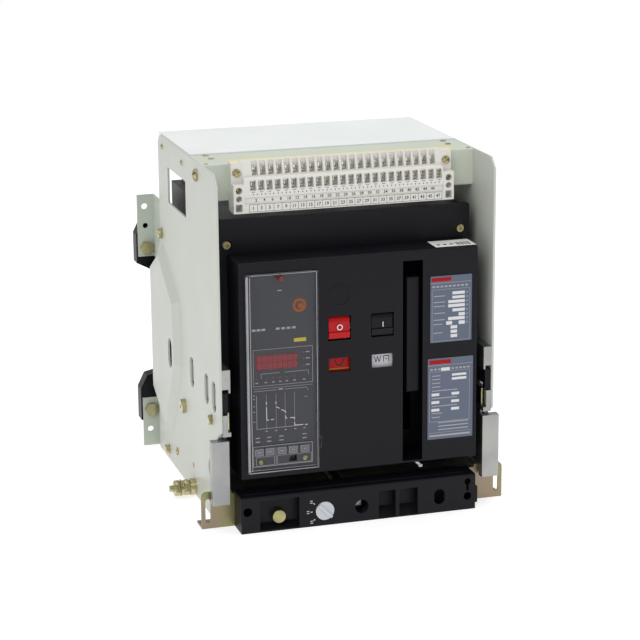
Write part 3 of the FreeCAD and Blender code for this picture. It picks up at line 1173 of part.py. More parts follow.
failed = [f"{thing.Name}: {thing.State}" for thing in doc.Objects
          if "Invalid" in thing.State or "Error" in thing.State]
for node, feature in parts.items():
    shape = feature.Shape
    if shape.isNull() or not shape.isValid() or not shape.Solids:
        failed.append(f"{node}: bad shape")
if failed:
    raise RuntimeError("; ".join(failed))

os.makedirs("parts", exist_ok=True)
for node, feature in parts.items():
    feature.Shape.exportStep(f"parts/{node}.step")
print(f"{len(parts)} sub-parts written")
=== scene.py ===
import math

import bmesh
import bpy
import numpy as np
from mathutils import Matrix, Vector


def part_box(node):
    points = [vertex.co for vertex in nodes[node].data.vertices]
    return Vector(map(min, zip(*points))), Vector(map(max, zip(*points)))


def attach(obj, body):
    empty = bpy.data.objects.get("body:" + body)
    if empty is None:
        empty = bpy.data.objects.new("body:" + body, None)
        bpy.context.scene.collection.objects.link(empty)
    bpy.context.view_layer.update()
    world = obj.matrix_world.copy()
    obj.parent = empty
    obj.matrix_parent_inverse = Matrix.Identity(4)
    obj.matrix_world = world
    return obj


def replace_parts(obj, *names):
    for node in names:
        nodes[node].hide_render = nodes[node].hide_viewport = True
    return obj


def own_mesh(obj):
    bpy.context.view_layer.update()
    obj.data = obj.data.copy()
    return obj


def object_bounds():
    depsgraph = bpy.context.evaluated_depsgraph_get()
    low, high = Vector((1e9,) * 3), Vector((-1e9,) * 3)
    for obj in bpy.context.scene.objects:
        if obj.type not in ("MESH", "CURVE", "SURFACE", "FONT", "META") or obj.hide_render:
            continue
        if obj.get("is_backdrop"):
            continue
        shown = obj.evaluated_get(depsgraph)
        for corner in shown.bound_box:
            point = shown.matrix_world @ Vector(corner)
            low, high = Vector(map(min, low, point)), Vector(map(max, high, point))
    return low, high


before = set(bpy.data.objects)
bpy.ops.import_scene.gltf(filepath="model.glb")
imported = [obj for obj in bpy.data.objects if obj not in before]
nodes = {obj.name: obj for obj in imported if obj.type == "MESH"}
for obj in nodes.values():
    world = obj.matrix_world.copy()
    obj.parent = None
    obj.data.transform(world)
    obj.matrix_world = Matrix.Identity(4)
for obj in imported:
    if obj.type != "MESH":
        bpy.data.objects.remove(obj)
cad_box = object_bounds()
scene = bpy.context.scene


# ------------------------ floor, light and camera
# A sheet of white board on a table, lit by two large soft boxes and a pale room.
# The camera stands to the left of the breaker and looks down on it through a long lens.
def srgb(red, green, blue):
    """A paint chip's 0 to 255 values as linear light: c/12.92 near black, else a 2.4 power."""
    chip = np.array((red, green, blue)) / 255
    linear = np.where(chip < 0.04045, chip / 12.92, ((chip + 0.055) / 1.055) ** 2.4)
    return (*map(float, linear), 1.0)


board = bpy.data.meshes.new("floor_board")
reach = 8.0
board.from_pydata([(-reach, -reach, 0), (reach, -reach, 0), (reach, reach, 0), (-reach, reach, 0)],
                  [], [(0, 1, 2, 3)])
floor = bpy.data.objects.new("floor", board)
scene.collection.objects.link(floor)
card = bpy.data.materials.new("white_card")
card.use_nodes = True
card_nodes = card.node_tree.nodes
card_shader = card_nodes["Principled BSDF"]
card_shader.inputs["Roughness"].default_value = 0.9
card_shader.inputs["Emission Color"].default_value = (1, 1, 1, 1)
card_shader.inputs["Emission Strength"].default_value = 0.66
card_fibre = card_nodes.new("ShaderNodeTexNoise")
card_fibre.inputs["Scale"].default_value = 40
card_tone = card_nodes.new("ShaderNodeMapRange")
card_tone.inputs["To Min"].default_value = 0.58
card_tone.inputs["To Max"].default_value = 0.62
card_where = card_nodes.new("ShaderNodeTexCoord")
card.node_tree.links.new(card_where.outputs["Object"], card_fibre.inputs["Vector"])
card.node_tree.links.new(card_fibre.outputs["Fac"], card_tone.inputs["Value"])
card.node_tree.links.new(card_tone.outputs["Result"], card_shader.inputs["Base Color"])
board.materials.append(card)
floor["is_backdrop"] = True

room = bpy.data.worlds.new("pale_room")
room.use_nodes = True
walls = room.node_tree.nodes["Background"]
walls.inputs["Color"].default_value = (1, 1, 1, 1)
seen = room.node_tree.nodes.new("ShaderNodeLightPath").outputs["Is Camera Ray"]
level = room.node_tree.nodes.new("ShaderNodeMapRange")
level.inputs["To Min"].default_value = 0.52
room.node_tree.links.new(seen, level.inputs["Value"])
room.node_tree.links.new(level.outputs["Result"], walls.inputs["Strength"])
scene.world = room
scene.view_settings.view_transform = "Standard"

for name, spot, size, power in (
        ("key_box", (-1.5, -2.2, 2.4), 1.6, 27.0),
        ("fill_box", (2.4, -1.6, 1.5), 1.8, 5.0),
        ("top_box", (0.2, 0.6, 2.6), 1.8, 25.0)):
    lamp = bpy.data.lights.new(name, "AREA")
    lamp.size = size
    lamp.energy = power
    holder = bpy.data.objects.new(name, lamp)
    holder.location = spot
    holder.rotation_euler = (Vector((0, 0, 0.2)) - Vector(spot)).to_track_quat("-Z", "Y").to_euler()
    scene.collection.objects.link(holder)

yaw, pitch, roll = (math.radians(angle) for angle in (16.692, 14.923, -0.4755))
ahead = Vector((math.sin(yaw) * math.cos(pitch), math.cos(yaw) * math.cos(pitch), -math.sin(pitch)))
across = Vector((math.cos(yaw), -math.sin(yaw), 0))
upward = across.cross(ahead)
side = across * math.cos(roll) + upward * math.sin(roll)
rise = upward * math.cos(roll) - across * math.sin(roll)
lens = bpy.data.cameras.new("long_lens")
lens.sensor_width = 36
lens.lens = 119.215
camera = bpy.data.objects.new("camera", lens)
camera.matrix_world = (Matrix.Translation((-0.73683, -2.4955, 0.89023))
                       @ Matrix((side, rise, -ahead)).transposed().to_4x4())
scene.collection.objects.link(camera)
scene.camera = camera


# ------------------------ painted side plates
# Two pressed sheet steel sides carry everything. They are zinc phosphated and then powder
# coated pale grey, so the film is slightly orange-peeled and thins on the cut edges.
def effect_group(name, inputs, outputs):
    """An empty shader group with named sockets, and its input and output nodes."""
    tree = bpy.data.node_groups.new(name, "ShaderNodeTree")
    for label, kind, value in inputs:
        socket = tree.interface.new_socket(name=label, in_out="INPUT", socket_type=kind)
        socket.default_value = value
    for label, kind in outputs:
        tree.interface.new_socket(name=label, in_out="OUTPUT", socket_type=kind)
    return tree, tree.nodes.new("NodeGroupInput"), tree.nodes.new("NodeGroupOutput")


def wire(tree, *pairs):
    """Joins output sockets to input sockets."""
    for start, end in pairs:
        tree.links.new(start, end)


def calc(tree, operation, first, second=None, clamp=False):
    """A math node on one or two sockets or numbers; gives its result socket."""
    node = tree.nodes.new("ShaderNodeMath")
    node.operation = operation
    node.use_clamp = clamp
    for place, value in zip(node.inputs, (first, second)):
        if isinstance(value, bpy.types.NodeSocket):
            tree.links.new(value, place)
        elif value is not None:
            place.default_value = value
    return node.outputs[0]


def noise(tree, where, size, detail=2.0, rough=0.5):
    """Noise whose lumps are about `size` metres wide, or whose scale is a socket."""
    node = tree.nodes.new("ShaderNodeTexNoise")
    tree.links.new(where, node.inputs["Vector"])
    if isinstance(size, bpy.types.NodeSocket):
        tree.links.new(size, node.inputs["Scale"])
    else:
        node.inputs["Scale"].default_value = 1 / size
    node.inputs["Detail"].default_value = detail
    node.inputs["Roughness"].default_value = rough
    return node.outputs["Fac"]


COLOUR, NUMBER, VECTOR = "NodeSocketColor", "NodeSocketFloat", "NodeSocketVector"
coat, coat_in, coat_out = effect_group("coated_surface", (
    ("Tint", COLOUR, (0.5, 0.5, 0.5, 1)), ("Worn", COLOUR, (0.6, 0.6, 0.6, 1)),
    ("Wear", NUMBER, 0.5), ("Grain", NUMBER, 900), ("Relief", NUMBER, 0.2),
    ("Mottle", NUMBER, 0.04), ("Roughness", NUMBER, 0.4), ("Rounding", NUMBER, 0.0005)),
    (("Color", COLOUR), ("Roughness", NUMBER), ("Normal", VECTOR)))
where = coat.nodes.new("ShaderNodeTexCoord").outputs["Object"]
grain = noise(coat, where, coat_in.outputs["Grain"], 3)
drift = noise(coat, where, 0.06, 4)
fleck = noise(coat, where, 0.0025, 3)
round_edge = coat.nodes.new("ShaderNodeBevel")
round_edge.samples = 4
face = coat.nodes.new("ShaderNodeNewGeometry")
meet = coat.nodes.new("ShaderNodeVectorMath")
meet.operation = "DOT_PRODUCT"
bump = coat.nodes.new("ShaderNodeBump")
bump.inputs["Distance"].default_value = 0.0003
wire(coat, (coat_in.outputs["Rounding"], round_edge.inputs["Radius"]),
     (round_edge.outputs["Normal"], meet.inputs[0]), (face.outputs["Normal"], meet.inputs[1]),
     (grain, bump.inputs["Height"]), (coat_in.outputs["Relief"], bump.inputs["Strength"]),
     (round_edge.outputs["Normal"], bump.inputs["Normal"]),
     (bump.outputs["Normal"], coat_out.inputs["Normal"]))
edge = calc(coat, "SUBTRACT", 1.0, meet.outputs["Value"])
edge = calc(coat, "MULTIPLY", edge, 4.0)
edge = calc(coat, "MULTIPLY", edge, fleck)
edge = calc(coat, "MULTIPLY", edge, coat_in.outputs["Wear"], clamp=True)
swing = calc(coat, "SUBTRACT", drift, 0.5)
tone = calc(coat, "ADD", calc(coat, "MULTIPLY", swing, coat_in.outputs["Mottle"]), 1.0)
tinted = coat.nodes.new("ShaderNodeVectorMath")
tinted.operation = "SCALE"
worn = coat.nodes.new("ShaderNodeMix")
worn.data_type = "RGBA"
gloss = calc(coat, "ADD", coat_in.outputs["Roughness"], calc(coat, "MULTIPLY", swing, 0.25), clamp=True)
wire(coat, (coat_in.outputs["Tint"], tinted.inputs[0]), (tone, tinted.inputs["Scale"]),
     (tinted.outputs["Vector"], worn.inputs["A"]), (coat_in.outputs["Worn"], worn.inputs["B"]),
     (edge, worn.inputs["Factor"]), (worn.outputs["Result"], coat_out.inputs["Color"]),
     (gloss, coat_out.inputs["Roughness"]))


def finish(name, effect, tint, second, metallic=0.0, specular=0.5, clear_coat=0.0, **values):
    """A Principled material whose colour, roughness and normal come from a shared effect. The
    second chip is the worn edge of a coating or the bloom on a metal."""
    made = bpy.data.materials.new(name)
    made.use_nodes = True
    tree = made.node_tree
    shader = tree.nodes["Principled BSDF"]
    shader.inputs["Metallic"].default_value = metallic
    shader.inputs["Specular IOR Level"].default_value = specular
    shader.inputs["Coat Weight"].default_value = clear_coat
    shader.inputs["Coat Roughness"].default_value = 0.15
    group = tree.nodes.new("ShaderNodeGroup")
    group.node_tree = effect
    for place, chip in zip(group.inputs, (tint, second)):
        place.default_value = srgb(*chip)
    for label, value in values.items():
        group.inputs[label].default_value = value
    wire(tree, (group.outputs["Color"], shader.inputs["Base Color"]),
         (group.outputs["Roughness"], shader.inputs["Roughness"]),
         (group.outputs["Normal"], shader.inputs["Normal"]))
    return made


def dress(material, *names):
    """Gives CAD nodes their finish."""
    for name in names:
        for slot in nodes[name].material_slots:
            slot.material = material


plate_paint = finish(
    "plate_powder_coat", coat, (196, 199, 191), (220, 223, 217), Wear=0.6, Grain=1100, Relief=0.25,
    Mottle=0.05, Roughness=0.42, Rounding=0.0006)
dress(plate_paint, "side_plate_left", "side_plate_right")


# ------------------------ fixings of the side plates
# Bolts and pan head screws in steel, cold forged, with a chamfered hexagon or a pressed cross
# recess. They are zinc plated and passivated yellow, which leaves a faint green and gold bloom.
# The shapes here and below are in millimetres, with y from the plates' front edge.
metal, metal_in, metal_out = effect_group("drawn_metal", (
    ("Tint", COLOUR, (0.6, 0.6, 0.6, 1)), ("Bloom", COLOUR, (0.5, 0.5, 0.5, 1)),
    ("Streak", VECTOR, (1, 1, 1)), ("Patch", NUMBER, 60), ("Relief", NUMBER, 0.2),
    ("Roughness", NUMBER, 0.35), ("Rounding", NUMBER, 0.0003)),
    (("Color", COLOUR), ("Roughness", NUMBER), ("Normal", VECTOR)))
where = metal.nodes.new("ShaderNodeTexCoord").outputs["Object"]
stretch = metal.nodes.new("ShaderNodeVectorMath")
stretch.operation = "MULTIPLY"
wire(metal, (where, stretch.inputs[0]), (metal_in.outputs["Streak"], stretch.inputs[1]))
streaks = noise(metal, stretch.outputs["Vector"], 0.0012, 3, 0.6)
patches = noise(metal, where, metal_in.outputs["Patch"], 3)
round_edge = metal.nodes.new("ShaderNodeBevel")
round_edge.samples = 4
bump = metal.nodes.new("ShaderNodeBump")
bump.inputs["Distance"].default_value = 0.0002
spread = metal.nodes.new("ShaderNodeMapRange")
spread.inputs["From Min"].default_value = 0.38
spread.inputs["From Max"].default_value = 0.62
blended = metal.nodes.new("ShaderNodeMix")
blended.data_type = "RGBA"
shaded = metal.nodes.new("ShaderNodeVectorMath")
shaded.operation = "SCALE"
shade = calc(metal, "ADD", calc(metal, "MULTIPLY", streaks, 0.24), 0.88)
gloss = calc(metal, "ADD", metal_in.outputs["Roughness"],
             calc(metal, "MULTIPLY", calc(metal, "SUBTRACT", streaks, 0.5), 0.3), clamp=True)
wire(metal, (patches, spread.inputs["Value"]), (spread.outputs["Result"], blended.inputs["Factor"]),
     (metal_in.outputs["Tint"], blended.inputs["A"]), (metal_in.outputs["Bloom"], blended.inputs["B"]),
     (blended.outputs["Result"], shaded.inputs[0]), (shade, shaded.inputs["Scale"]),
     (metal_in.outputs["Rounding"], round_edge.inputs["Radius"]), (streaks, bump.inputs["Height"]),
     (metal_in.outputs["Relief"], bump.inputs["Strength"]),
     (round_edge.outputs["Normal"], bump.inputs["Normal"]),
     (shaded.outputs["Vector"], metal_out.inputs["Color"]), (gloss, metal_out.inputs["Roughness"]),
     (bump.outputs["Normal"], metal_out.inputs["Normal"]))

yellow_zinc = finish(
    "yellow_passivated_zinc", metal, (198, 188, 146), (170, 166, 132), metallic=1.0,
    Streak=(1, 1, 1), Patch=40, Relief=0.2, Roughness=0.24, Rounding=0.0004)
plate_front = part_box("side_plate_left")[0].y
COMPASS = {"left": ((0, -1, 0), (0, 0, 1), (-1, 0, 0)), "right": ((0, 1, 0), (0, 0, 1), (1, 0, 0)),
           "front": ((1, 0, 0), (0, 0, 1), (0, -1, 0)), "top": ((1, 0, 0), (0, 1, 0), (0, 0, 1))}


def stand(local, centre, facing, turn=0.0):
    """Local points (across, up, out) turned about the out axis, then set on a spot facing a side."""
    across_axis, up_axis, out_axis = (np.array(v, float) for v in COMPASS[facing])
    c, s = math.cos(turn), math.sin(turn)
    a = c * local[..., 0] - s * local[..., 1]
    b = s * local[..., 0] + c * local[..., 1]
    return (np.array(centre, float) + a[..., None] * across_axis + b[..., None] * up_axis
            + local[..., 2:3] * out_axis)


def front_of(name):
    """Where the front face of a CAD node is, in millimetres behind the plates' front edge."""
    return (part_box(name)[0].y - plate_front) * 1000


def lattice(rows, cols, wrap=False):
    """Quads of a grid of points, row by row; wrap joins the last column to the first."""
    i, j = np.meshgrid(np.arange(rows - 1), np.arange(cols if wrap else cols - 1), indexing="ij")
    k = (j + 1) % cols
    return np.stack([i * cols + j, i * cols + k, (i + 1) * cols + k, (i + 1) * cols + j],
                    -1).reshape(-1, 4)


def turned(profile, centre, facing, sides=24, flats=None, thread=None, turn=0.0):
    """A profile of (out, radius) carried round the out axis. With flats, the radius is cut to
    flats/2 over the cosine of the angle from the nearest flat; with thread (pitch, depth) it
    dips by a triangle wave of out/pitch minus the share of a turn."""
    out, radius = np.array(profile, float).T
    angle = np.linspace(0, 2 * np.pi, sides, endpoint=False)
    around = np.repeat(radius[:, None], sides, 1)
    if flats:
        nearest = (angle + np.pi / 6) % (np.pi / 3) - np.pi / 6
        around = np.minimum(around, flats / 2 / np.cos(nearest))
    if thread:
        phase = (out[:, None] / thread[0] - angle / (2 * np.pi)) % 1
        around = around - thread[1] * np.abs(2 * phase - 1) * (around > 0.01)
    local = np.stack([around * np.cos(angle), around * np.sin(angle),
                      np.repeat(out[:, None], sides, 1)], -1)
    return stand(local.reshape(-1, 3), centre, facing, turn), [lattice(len(out), sides, True)]


def driven(centre, facing, radius, height, drive="cross", turn=0.5, start=0.0):
    """A screw head: a square lattice (u, v) bent to a disc by u*sqrt(1-v*v/2), v*sqrt(1-u*u/2),
    domed by 1-0.5*r*r, and sunk by 0.8 of the height where it lies in the slot or the cross."""
    slot = 0.14
    line = np.array([-1, -0.62, -slot - 0.03, -slot, slot, slot + 0.03, 0.62, 1])
    u, v = np.meshgrid(line, line, indexing="ij")
    x, y = u * np.sqrt(1 - v * v / 2), v * np.sqrt(1 - u * u / 2)
    rise = height * (1 - 0.5 * (x * x + y * y))
    slit = np.abs(v) <= slot
    if drive == "cross":
        slit = (slit & (np.abs(u) <= 0.7)) | ((np.abs(u) <= slot) & (np.abs(v) <= 0.7))
    rise = rise - slit * height * 0.8
    top = np.stack([x * radius, y * radius, start + rise], -1).reshape(-1, 3)
    n = len(line)
    grid = np.arange(n * n).reshape(n, n)
    rim = np.concatenate([grid[:-1, 0], grid[-1, :-1], grid[:0:-1, -1], grid[0, :0:-1]])
    foot = top[rim] * (1, 1, 0) + (0, 0, start)
    k = np.arange(len(rim))
    follow = np.roll(k, -1)
    skirt = np.stack([rim[k], rim[follow], n * n + follow, n * n + k], -1)
    return (stand(np.concatenate([top, foot]), centre, facing, turn),
            [lattice(n, n), skirt, (n * n + k)[None, ::-1]])


def tiles(rows):
    """Square-edged slabs, one for each row (x0, x1, y0, y1, z0, z1)."""
    span = np.array(rows, float).reshape(-1, 3, 2)
    corner = np.array([(0, 0, 0), (1, 0, 0), (1, 1, 0), (0, 1, 0),
                       (0, 0, 1), (1, 0, 1), (1, 1, 1), (0, 1, 1)])
    points = np.stack([span[:, axis][:, corner[:, axis]] for axis in range(3)], -1)
    face = np.array([(0, 3, 2, 1), (4, 5, 6, 7), (0, 1, 5, 4), (1, 2, 6, 5), (2, 3, 7, 6), (3, 0, 4, 7)])
    return points.reshape(-1, 3), [(np.arange(len(span))[:, None, None] * 8 + face).reshape(-1, 4)]


def piece(name, shells, body, material, smooth=35.0):
    """One mesh from several shells in millimetres from the plates' front edge, riding on a body."""
    points, faces, count = [], [], 0
    for shell_points, shell_faces in shells:
        points.append(shell_points)
        for block in shell_faces:
            faces.extend((np.asarray(block) + count).tolist())
        count += len(shell_points)
    place = np.concatenate(points) * 0.001 + (0, plate_front, 0)
    mesh = bpy.data.meshes.new(name)
    mesh.from_pydata(place.tolist(), [], faces)
    work = bmesh.new()
    work.from_mesh(mesh)
    bmesh.ops.remove_doubles(work, verts=work.verts, dist=1e-6)
    bmesh.ops.recalc_face_normals(work, faces=work.faces)
    work.to_mesh(mesh)
    work.free()
    mesh.materials.append(material)
    mesh.shade_smooth()
    mesh.set_sharp_from_angle(angle=math.radians(smooth))
    made = bpy.data.objects.new(name, mesh)
    scene.collection.objects.link(made)
    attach(made, body)
    return made


def hexagon_head(centre, facing, flats, height, start):
    """A washer faced hexagon: flat foot, straight flats, and a cone that trims the top corners."""
    reach = flats * 0.6
    return turned([(start, 0), (start, flats * 0.47), (start + 0.4, flats * 0.47), (start + 0.4, reach),
                   (start + height * 0.8, reach), (start + height, flats * 0.46), (start + height, 0)],
                  centre, facing, 24, flats, turn=0.3)


def washer(centre, facing, radius, thick, bore=0.0, start=0.0):
    """A ring, closed by carrying its four edges back to the first; no bore makes it a disc."""
    lip = min(0.25, thick / 3)
    return turned([(start, bore), (start, radius), (start + thick - lip, radius),
                   (start + thick, radius - lip), (start + thick, bore), (start, bore)],
                  centre, facing, 28)


skin = 170.6
foot_washer = 1.2
fixings = (  # y, z, radius, height, kind
    (274, 417.6, 3.4, 2.4, "cross"), (167, 416, 3.4, 2.4, "cross"), (92.6, 414.5, 7.5, 5, "cross"),
    (289, 303, 6.5, 6, "hexagon"), (183, 104, 9, 6, "pin"), (42, 128.5, 6, 5, "hexagon"),
    (279, 17, 6, 6, "hexagon"), (231, 29, 5, 3, "cross"))
fixing_shells = []
for facing, x in (("left", -skin), ("right", skin)):
    for y, z, size, tall, kind in fixings:
        spot = (x, y, z)
        if kind == "cross":
            fixing_shells.append(driven(spot, facing, size, tall, "cross", turn=0.6))
        elif kind == "hexagon":
            fixing_shells.append(washer(spot, facing, size * 1.12, foot_washer))
            fixing_shells.append(hexagon_head(spot, facing, size * 1.7, tall - foot_washer, foot_washer))
        else:
            dimple = [(tall, 3), (tall - 0.8, 2.4), (tall - 0.8, 0)]
            barrel = [(0, 0), (0, size), (tall - 1, size), (tall, size - 1.2)]
            fixing_shells.append(turned(barrel + dimple, spot, facing, 32))
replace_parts(piece("plate_screws_and_bolts", fixing_shells, "cradle", yellow_zinc),
            "plate_fixings")


# ------------------------ slot liners, rail stops and paint dot
# A thin mill finish liner shows behind the louvre slots, riveted inside each plate. A black
# moulded stop stands between each pair of rails, and an inspector has dabbed on orange paint.
aluminium = finish(
    "mill_aluminium", metal, (172, 172, 168), (158, 160, 160), metallic=1.0, Streak=(1, 0.04, 1),
    Patch=20, Relief=0.3, Roughness=0.42, Rounding=0.0005)
black_plastic = finish(
    "black_moulding", coat, (15, 15, 22), (62, 62, 66), specular=0.2, Wear=0.7, Grain=1500,
    Relief=0.35, Mottle=0.12, Roughness=0.42, Rounding=0.0006)
between_rails = (146.6, 171.4)
liners = [(-167.9, -167.4, 14, 245, *between_rails), (167.4, 167.9, 14, 245, *between_rails)]
piece("slot_liners", [tiles(liners)], "cradle", aluminium)
stops = [(-167.2, -160.6, 2, 10, *between_rails), (160.6, 167.2, 2, 10, *between_rails)]
piece("rail_stops", [tiles(stops)], "cradle", black_plastic)
orange_paint = finish(
    "orange_paint", coat, (196, 112, 72), (206, 140, 104), Wear=0.3, Grain=700, Relief=0.2,
    Mottle=0.3, Roughness=0.5, Rounding=0.0001)
dab = [(-0.2, 0), (-0.2, 3.8), (0.1, 3.6), (0.1, 0)]
piece("paint_dot", [turned(dab, (-skin, 143, 39), "left", 20)], "cradle", orange_paint)


# ------------------------ earthing stud
# An M10 stud through the left plate with rolled threads, two nuts, flat washers and a spring
# washer, all yellow zinc. The lug of the earth wire goes between the nuts.
stud_spot = (-skin, 137, 13)
thread_step, thread_end = 0.375, 27.5
thread_rows = [(thread_step * k, 5) for k in range(int(thread_end / thread_step) + 1)]
plain_end = [(thread_end, 4.25), (32.4, 4.25), (33, 3.6), (33, 0)]
stud_shells = [turned([(-2.6, 0), (-2.6, 4.9), (0, 4.9)] + thread_rows + plain_end,
                      stud_spot, "left", 20, thread=(1.5, 0.55))]
for start, size, thick in ((0, 10, 2), (2, 10.5, 5.5), (15.5, 9, 2.5), (18, 10.5, 1.5)):
    stud_shells.append(washer(stud_spot, "left", size, thick, 4.6, start))
for start in (7.5, 19.5):
    stud_shells.append(turned([(start, 4.6), (start, 8), (start + 1.2, 10.2), (start + 6.8, 10.2),
                               (start + 8, 8), (start + 8, 4.6), (start, 4.6)],
                              stud_spot, "left", 24, flats=17, turn=0.25))
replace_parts(piece("earth_stud_and_nuts", stud_shells, "cradle", yellow_zinc),
            "earth_stud", "earth_nuts")


# ------------------------ cross beam and top cover
# A folded beam in pale grey powder coat and a white folded cover close the top. Small pan head
# screws hold them down, and a yellow paper strip is stuck behind the terminal block.
beam_paint = finish(
    "beam_powder_coat", coat, (200, 207, 193), (226, 231, 222), Wear=0.6, Grain=1100, Relief=0.25,
    Mottle=0.05, Roughness=0.45, Rounding=0.0008)
cover_paint = finish(
    "cover_powder_coat", coat, (234, 238, 237), (240, 242, 240), Wear=0.6, Grain=1000, Relief=0.3,
    Mottle=0.03, Roughness=0.45, Rounding=0.0012)
dress(beam_paint, "cross_beam")
dress(cover_paint, "top_cover")
beam_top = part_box("cross_beam")[1].z * 1000
beam_shells = [driven((x * side, y, beam_top), "top", radius, tall, "cross", turn=0.3 * side)
               for x, y, radius, tall in ((150.3, 128, 3.8, 1.4), (148.9, 106.4, 3.8, 1.4),
                                          (162.8, 75, 2.6, 1.2))
               for side in (-1, 1)]
piece("cover_screws", beam_shells, "cradle", yellow_zinc)
yellow_label = finish(
    "yellow_label", coat, (226, 214, 140), (236, 228, 170), Wear=0.3, Grain=900, Relief=0.1,
    Mottle=0.15, Roughness=0.5, Rounding=0.0001)
piece("beam_label_strip", [tiles([(-133, 144.6, 74, 91, 429.6, 430.25)])], "cradle", yellow_label)


# ------------------------ terminal block
# Two rows of screw clamps in a cream nylon block: 24 ways below and 23 above. The clamp
# screws are nickel plated and slotted; the ways are numbered on two printed strips.
cream_plastic = finish(
    "cream_moulding", coat, (226, 224, 218), (236, 234, 229), Wear=0.4, Grain=1400, Relief=0.15,
    Mottle=0.04, Roughness=0.4, Rounding=0.0003)
dress(cream_plastic, "terminal_block")
nickel = finish(
    "nickel_plate", metal, (214, 212, 204), (190, 188, 180), metallic=1.0, Streak=(1, 1, 1),
    Patch=150, Relief=0.15, Roughness=0.32, Rounding=0.0002)
pitch, low_first, high_first = 10.0, -113.7, -109.1
clamp_shells = []
for first, ways, y, z in ((low_first, 24, 55.5, 406.3), (high_first, 23, 64.5, 422.3)):
    for way in range(ways):
        x = first + pitch * way
        clamp_shells.append(tiles([(x - 2.6, x + 3.0, y - 1.2, y + 0.5, z - 4.4, z + 4.4)]))
        where_it_stopped = 1.57 + 0.25 * math.sin(way * 2.3)
        clamp_shells.append(driven((x + 0.2, y - 1.2, z), "front", 3.0, 2.6, "slot", where_it_stopped))
piece("clamp_screws", clamp_shells, "cradle", nickel)
lug_shells = []
for x in (-130.9, 128.4):
    lug_shells.append(driven((x, 58, 420.5), "front", 4.4, 2.6, "cross", turn=0.5, start=0.6))
    lug_shells.append(washer((x, 58, 420.5), "front", 5.2, 0.6))
    lug_shells.append(driven((x, 53, 401), "front", 3.6, 2.4, "cross", turn=0.2))
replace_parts(piece("block_screws", lug_shells, "cradle", yellow_zinc), "terminal_screws")


def printed(name, tint, worn, mottle):
    """Screen printing ink, which lies flat and dries to a soft sheen."""
    return finish(name, coat, tint, worn, specular=0.3, Wear=0.2, Grain=900, Relief=0.05,
                  Mottle=mottle, Roughness=0.5, Rounding=0.0001)


ink = printed("black_ink", (26, 26, 30), (80, 80, 84), 0.3)


def lettering(text, tall, centre):
    """Figures as a mesh: the outline font filled, given a little thickness, centred on a spot."""
    curve = bpy.data.curves.new("figures", "FONT")
    curve.body = text
    curve.size = tall * 1.4
    curve.align_x, curve.align_y = "CENTER", "CENTER"
    curve.extrude = 0.04
    curve.resolution_u = 2
    curve.offset = tall * 0.025
    holder = bpy.data.objects.new("figures", curve)
    mesh = bpy.data.meshes.new_from_object(holder)
    flat = np.empty(len(mesh.vertices) * 3)
    mesh.vertices.foreach_get("co", flat)
    faces = [np.array([list(p.vertices)]) for p in mesh.polygons]
    bpy.data.objects.remove(holder)
    bpy.data.meshes.remove(mesh)
    return stand(flat.reshape(-1, 3), centre, "front"), faces


step = 9.95
strip_y, strip_low, strip_high = (46.93, 47.1), 375.4, 384.1
figure_shells = [lettering(str(2 * way + 1), 3.9, (-113.9 + step * way, 47, 379.6)) for way in range(24)]
figure_shells += [lettering(str(2 * way + 2), 3.6, (-109.6 + step * way, 50, 388.3)) for way in range(23)]
frame_rows = [(-119.2, 120.2, *strip_y, z - 0.2, z + 0.2) for z in (strip_low, strip_high)]
frame_rows += [(x - 0.2, x + 0.2, *strip_y, strip_low, strip_high) for x in -118.9 + step * np.arange(25)]
low_x, high_x = low_first + pitch * np.arange(24), high_first + pitch * np.arange(23)
tick_rows = [(x - 0.5, x + 0.5, *strip_y, 395.2, 396.7) for x in (*low_x, *high_x)]
tick_rows += [(x - 1.9, x + 1.9, *strip_y, 398.6, 399.2) for x in low_x]
piece("block_numbering", figure_shells + [tiles(frame_rows), tiles(tick_rows)], "cradle", ink)


# ------------------------ foot bar
# An angle bent from 3 mm steel, with slotted ears at both ends. Its passivated zinc is dull
# and uneven: greenish gold with pink bands.
foot_zinc = finish(
    "foot_bar_zinc", metal, (150, 152, 96), (150, 134, 116), metallic=0.85, Streak=(1, 1, 0.1),
    Patch=14, Relief=0.25, Roughness=0.36, Rounding=0.0004)
dress(foot_zinc, "foot_bar")


# ------------------------ floor tray and rear brackets
# The tray is folded sheet spot welded to the sides, and angle brackets hold the rear base.
# Both are powder coated grey; the bracket bolts are yellow zinc.
bracket_paint = finish(
    "bracket_powder_coat", coat, (180, 188, 176), (216, 222, 212), Wear=0.6, Grain=1100,
    Relief=0.25, Mottle=0.06, Roughness=0.45, Rounding=0.0008)
dress(bracket_paint, "floor_tray", "rear_brackets")
dress(yellow_zinc, "bracket_bolts")


# ------------------------ rear base and cradle contacts
# One black thermoset moulding carries six silver plated copper bars, and a cluster of sprung
# fingers in bright steel clips sits on each. They are bolted from behind.
dress(black_plastic, "rear_base")
bright_steel = finish(
    "zinc_plated_steel", metal, (190, 190, 188), (168, 170, 172), metallic=1.0, Streak=(0.1, 1, 1),
    Patch=50, Relief=0.2, Roughness=0.36, Rounding=0.0003)
silver_plate = finish(
    "silver_plated_copper", metal, (222, 216, 202), (196, 184, 160), metallic=1.0,
    Streak=(1, 0.1, 1), Patch=35, Relief=0.15, Roughness=0.3, Rounding=0.0006)
dress(bright_steel, "contact_clusters")
dress(silver_plate, "cradle_terminals")


# ------------------------ rails and guides
# Extruded aluminium rails and guides, drawn lengthwise and cut square at the front. The
# breaker's own runners are yellow zinc strips.
dress(aluminium, "upper_guides", "pull_rail_left", "pull_rail_right")
dress(yellow_zinc, "breaker_runners")


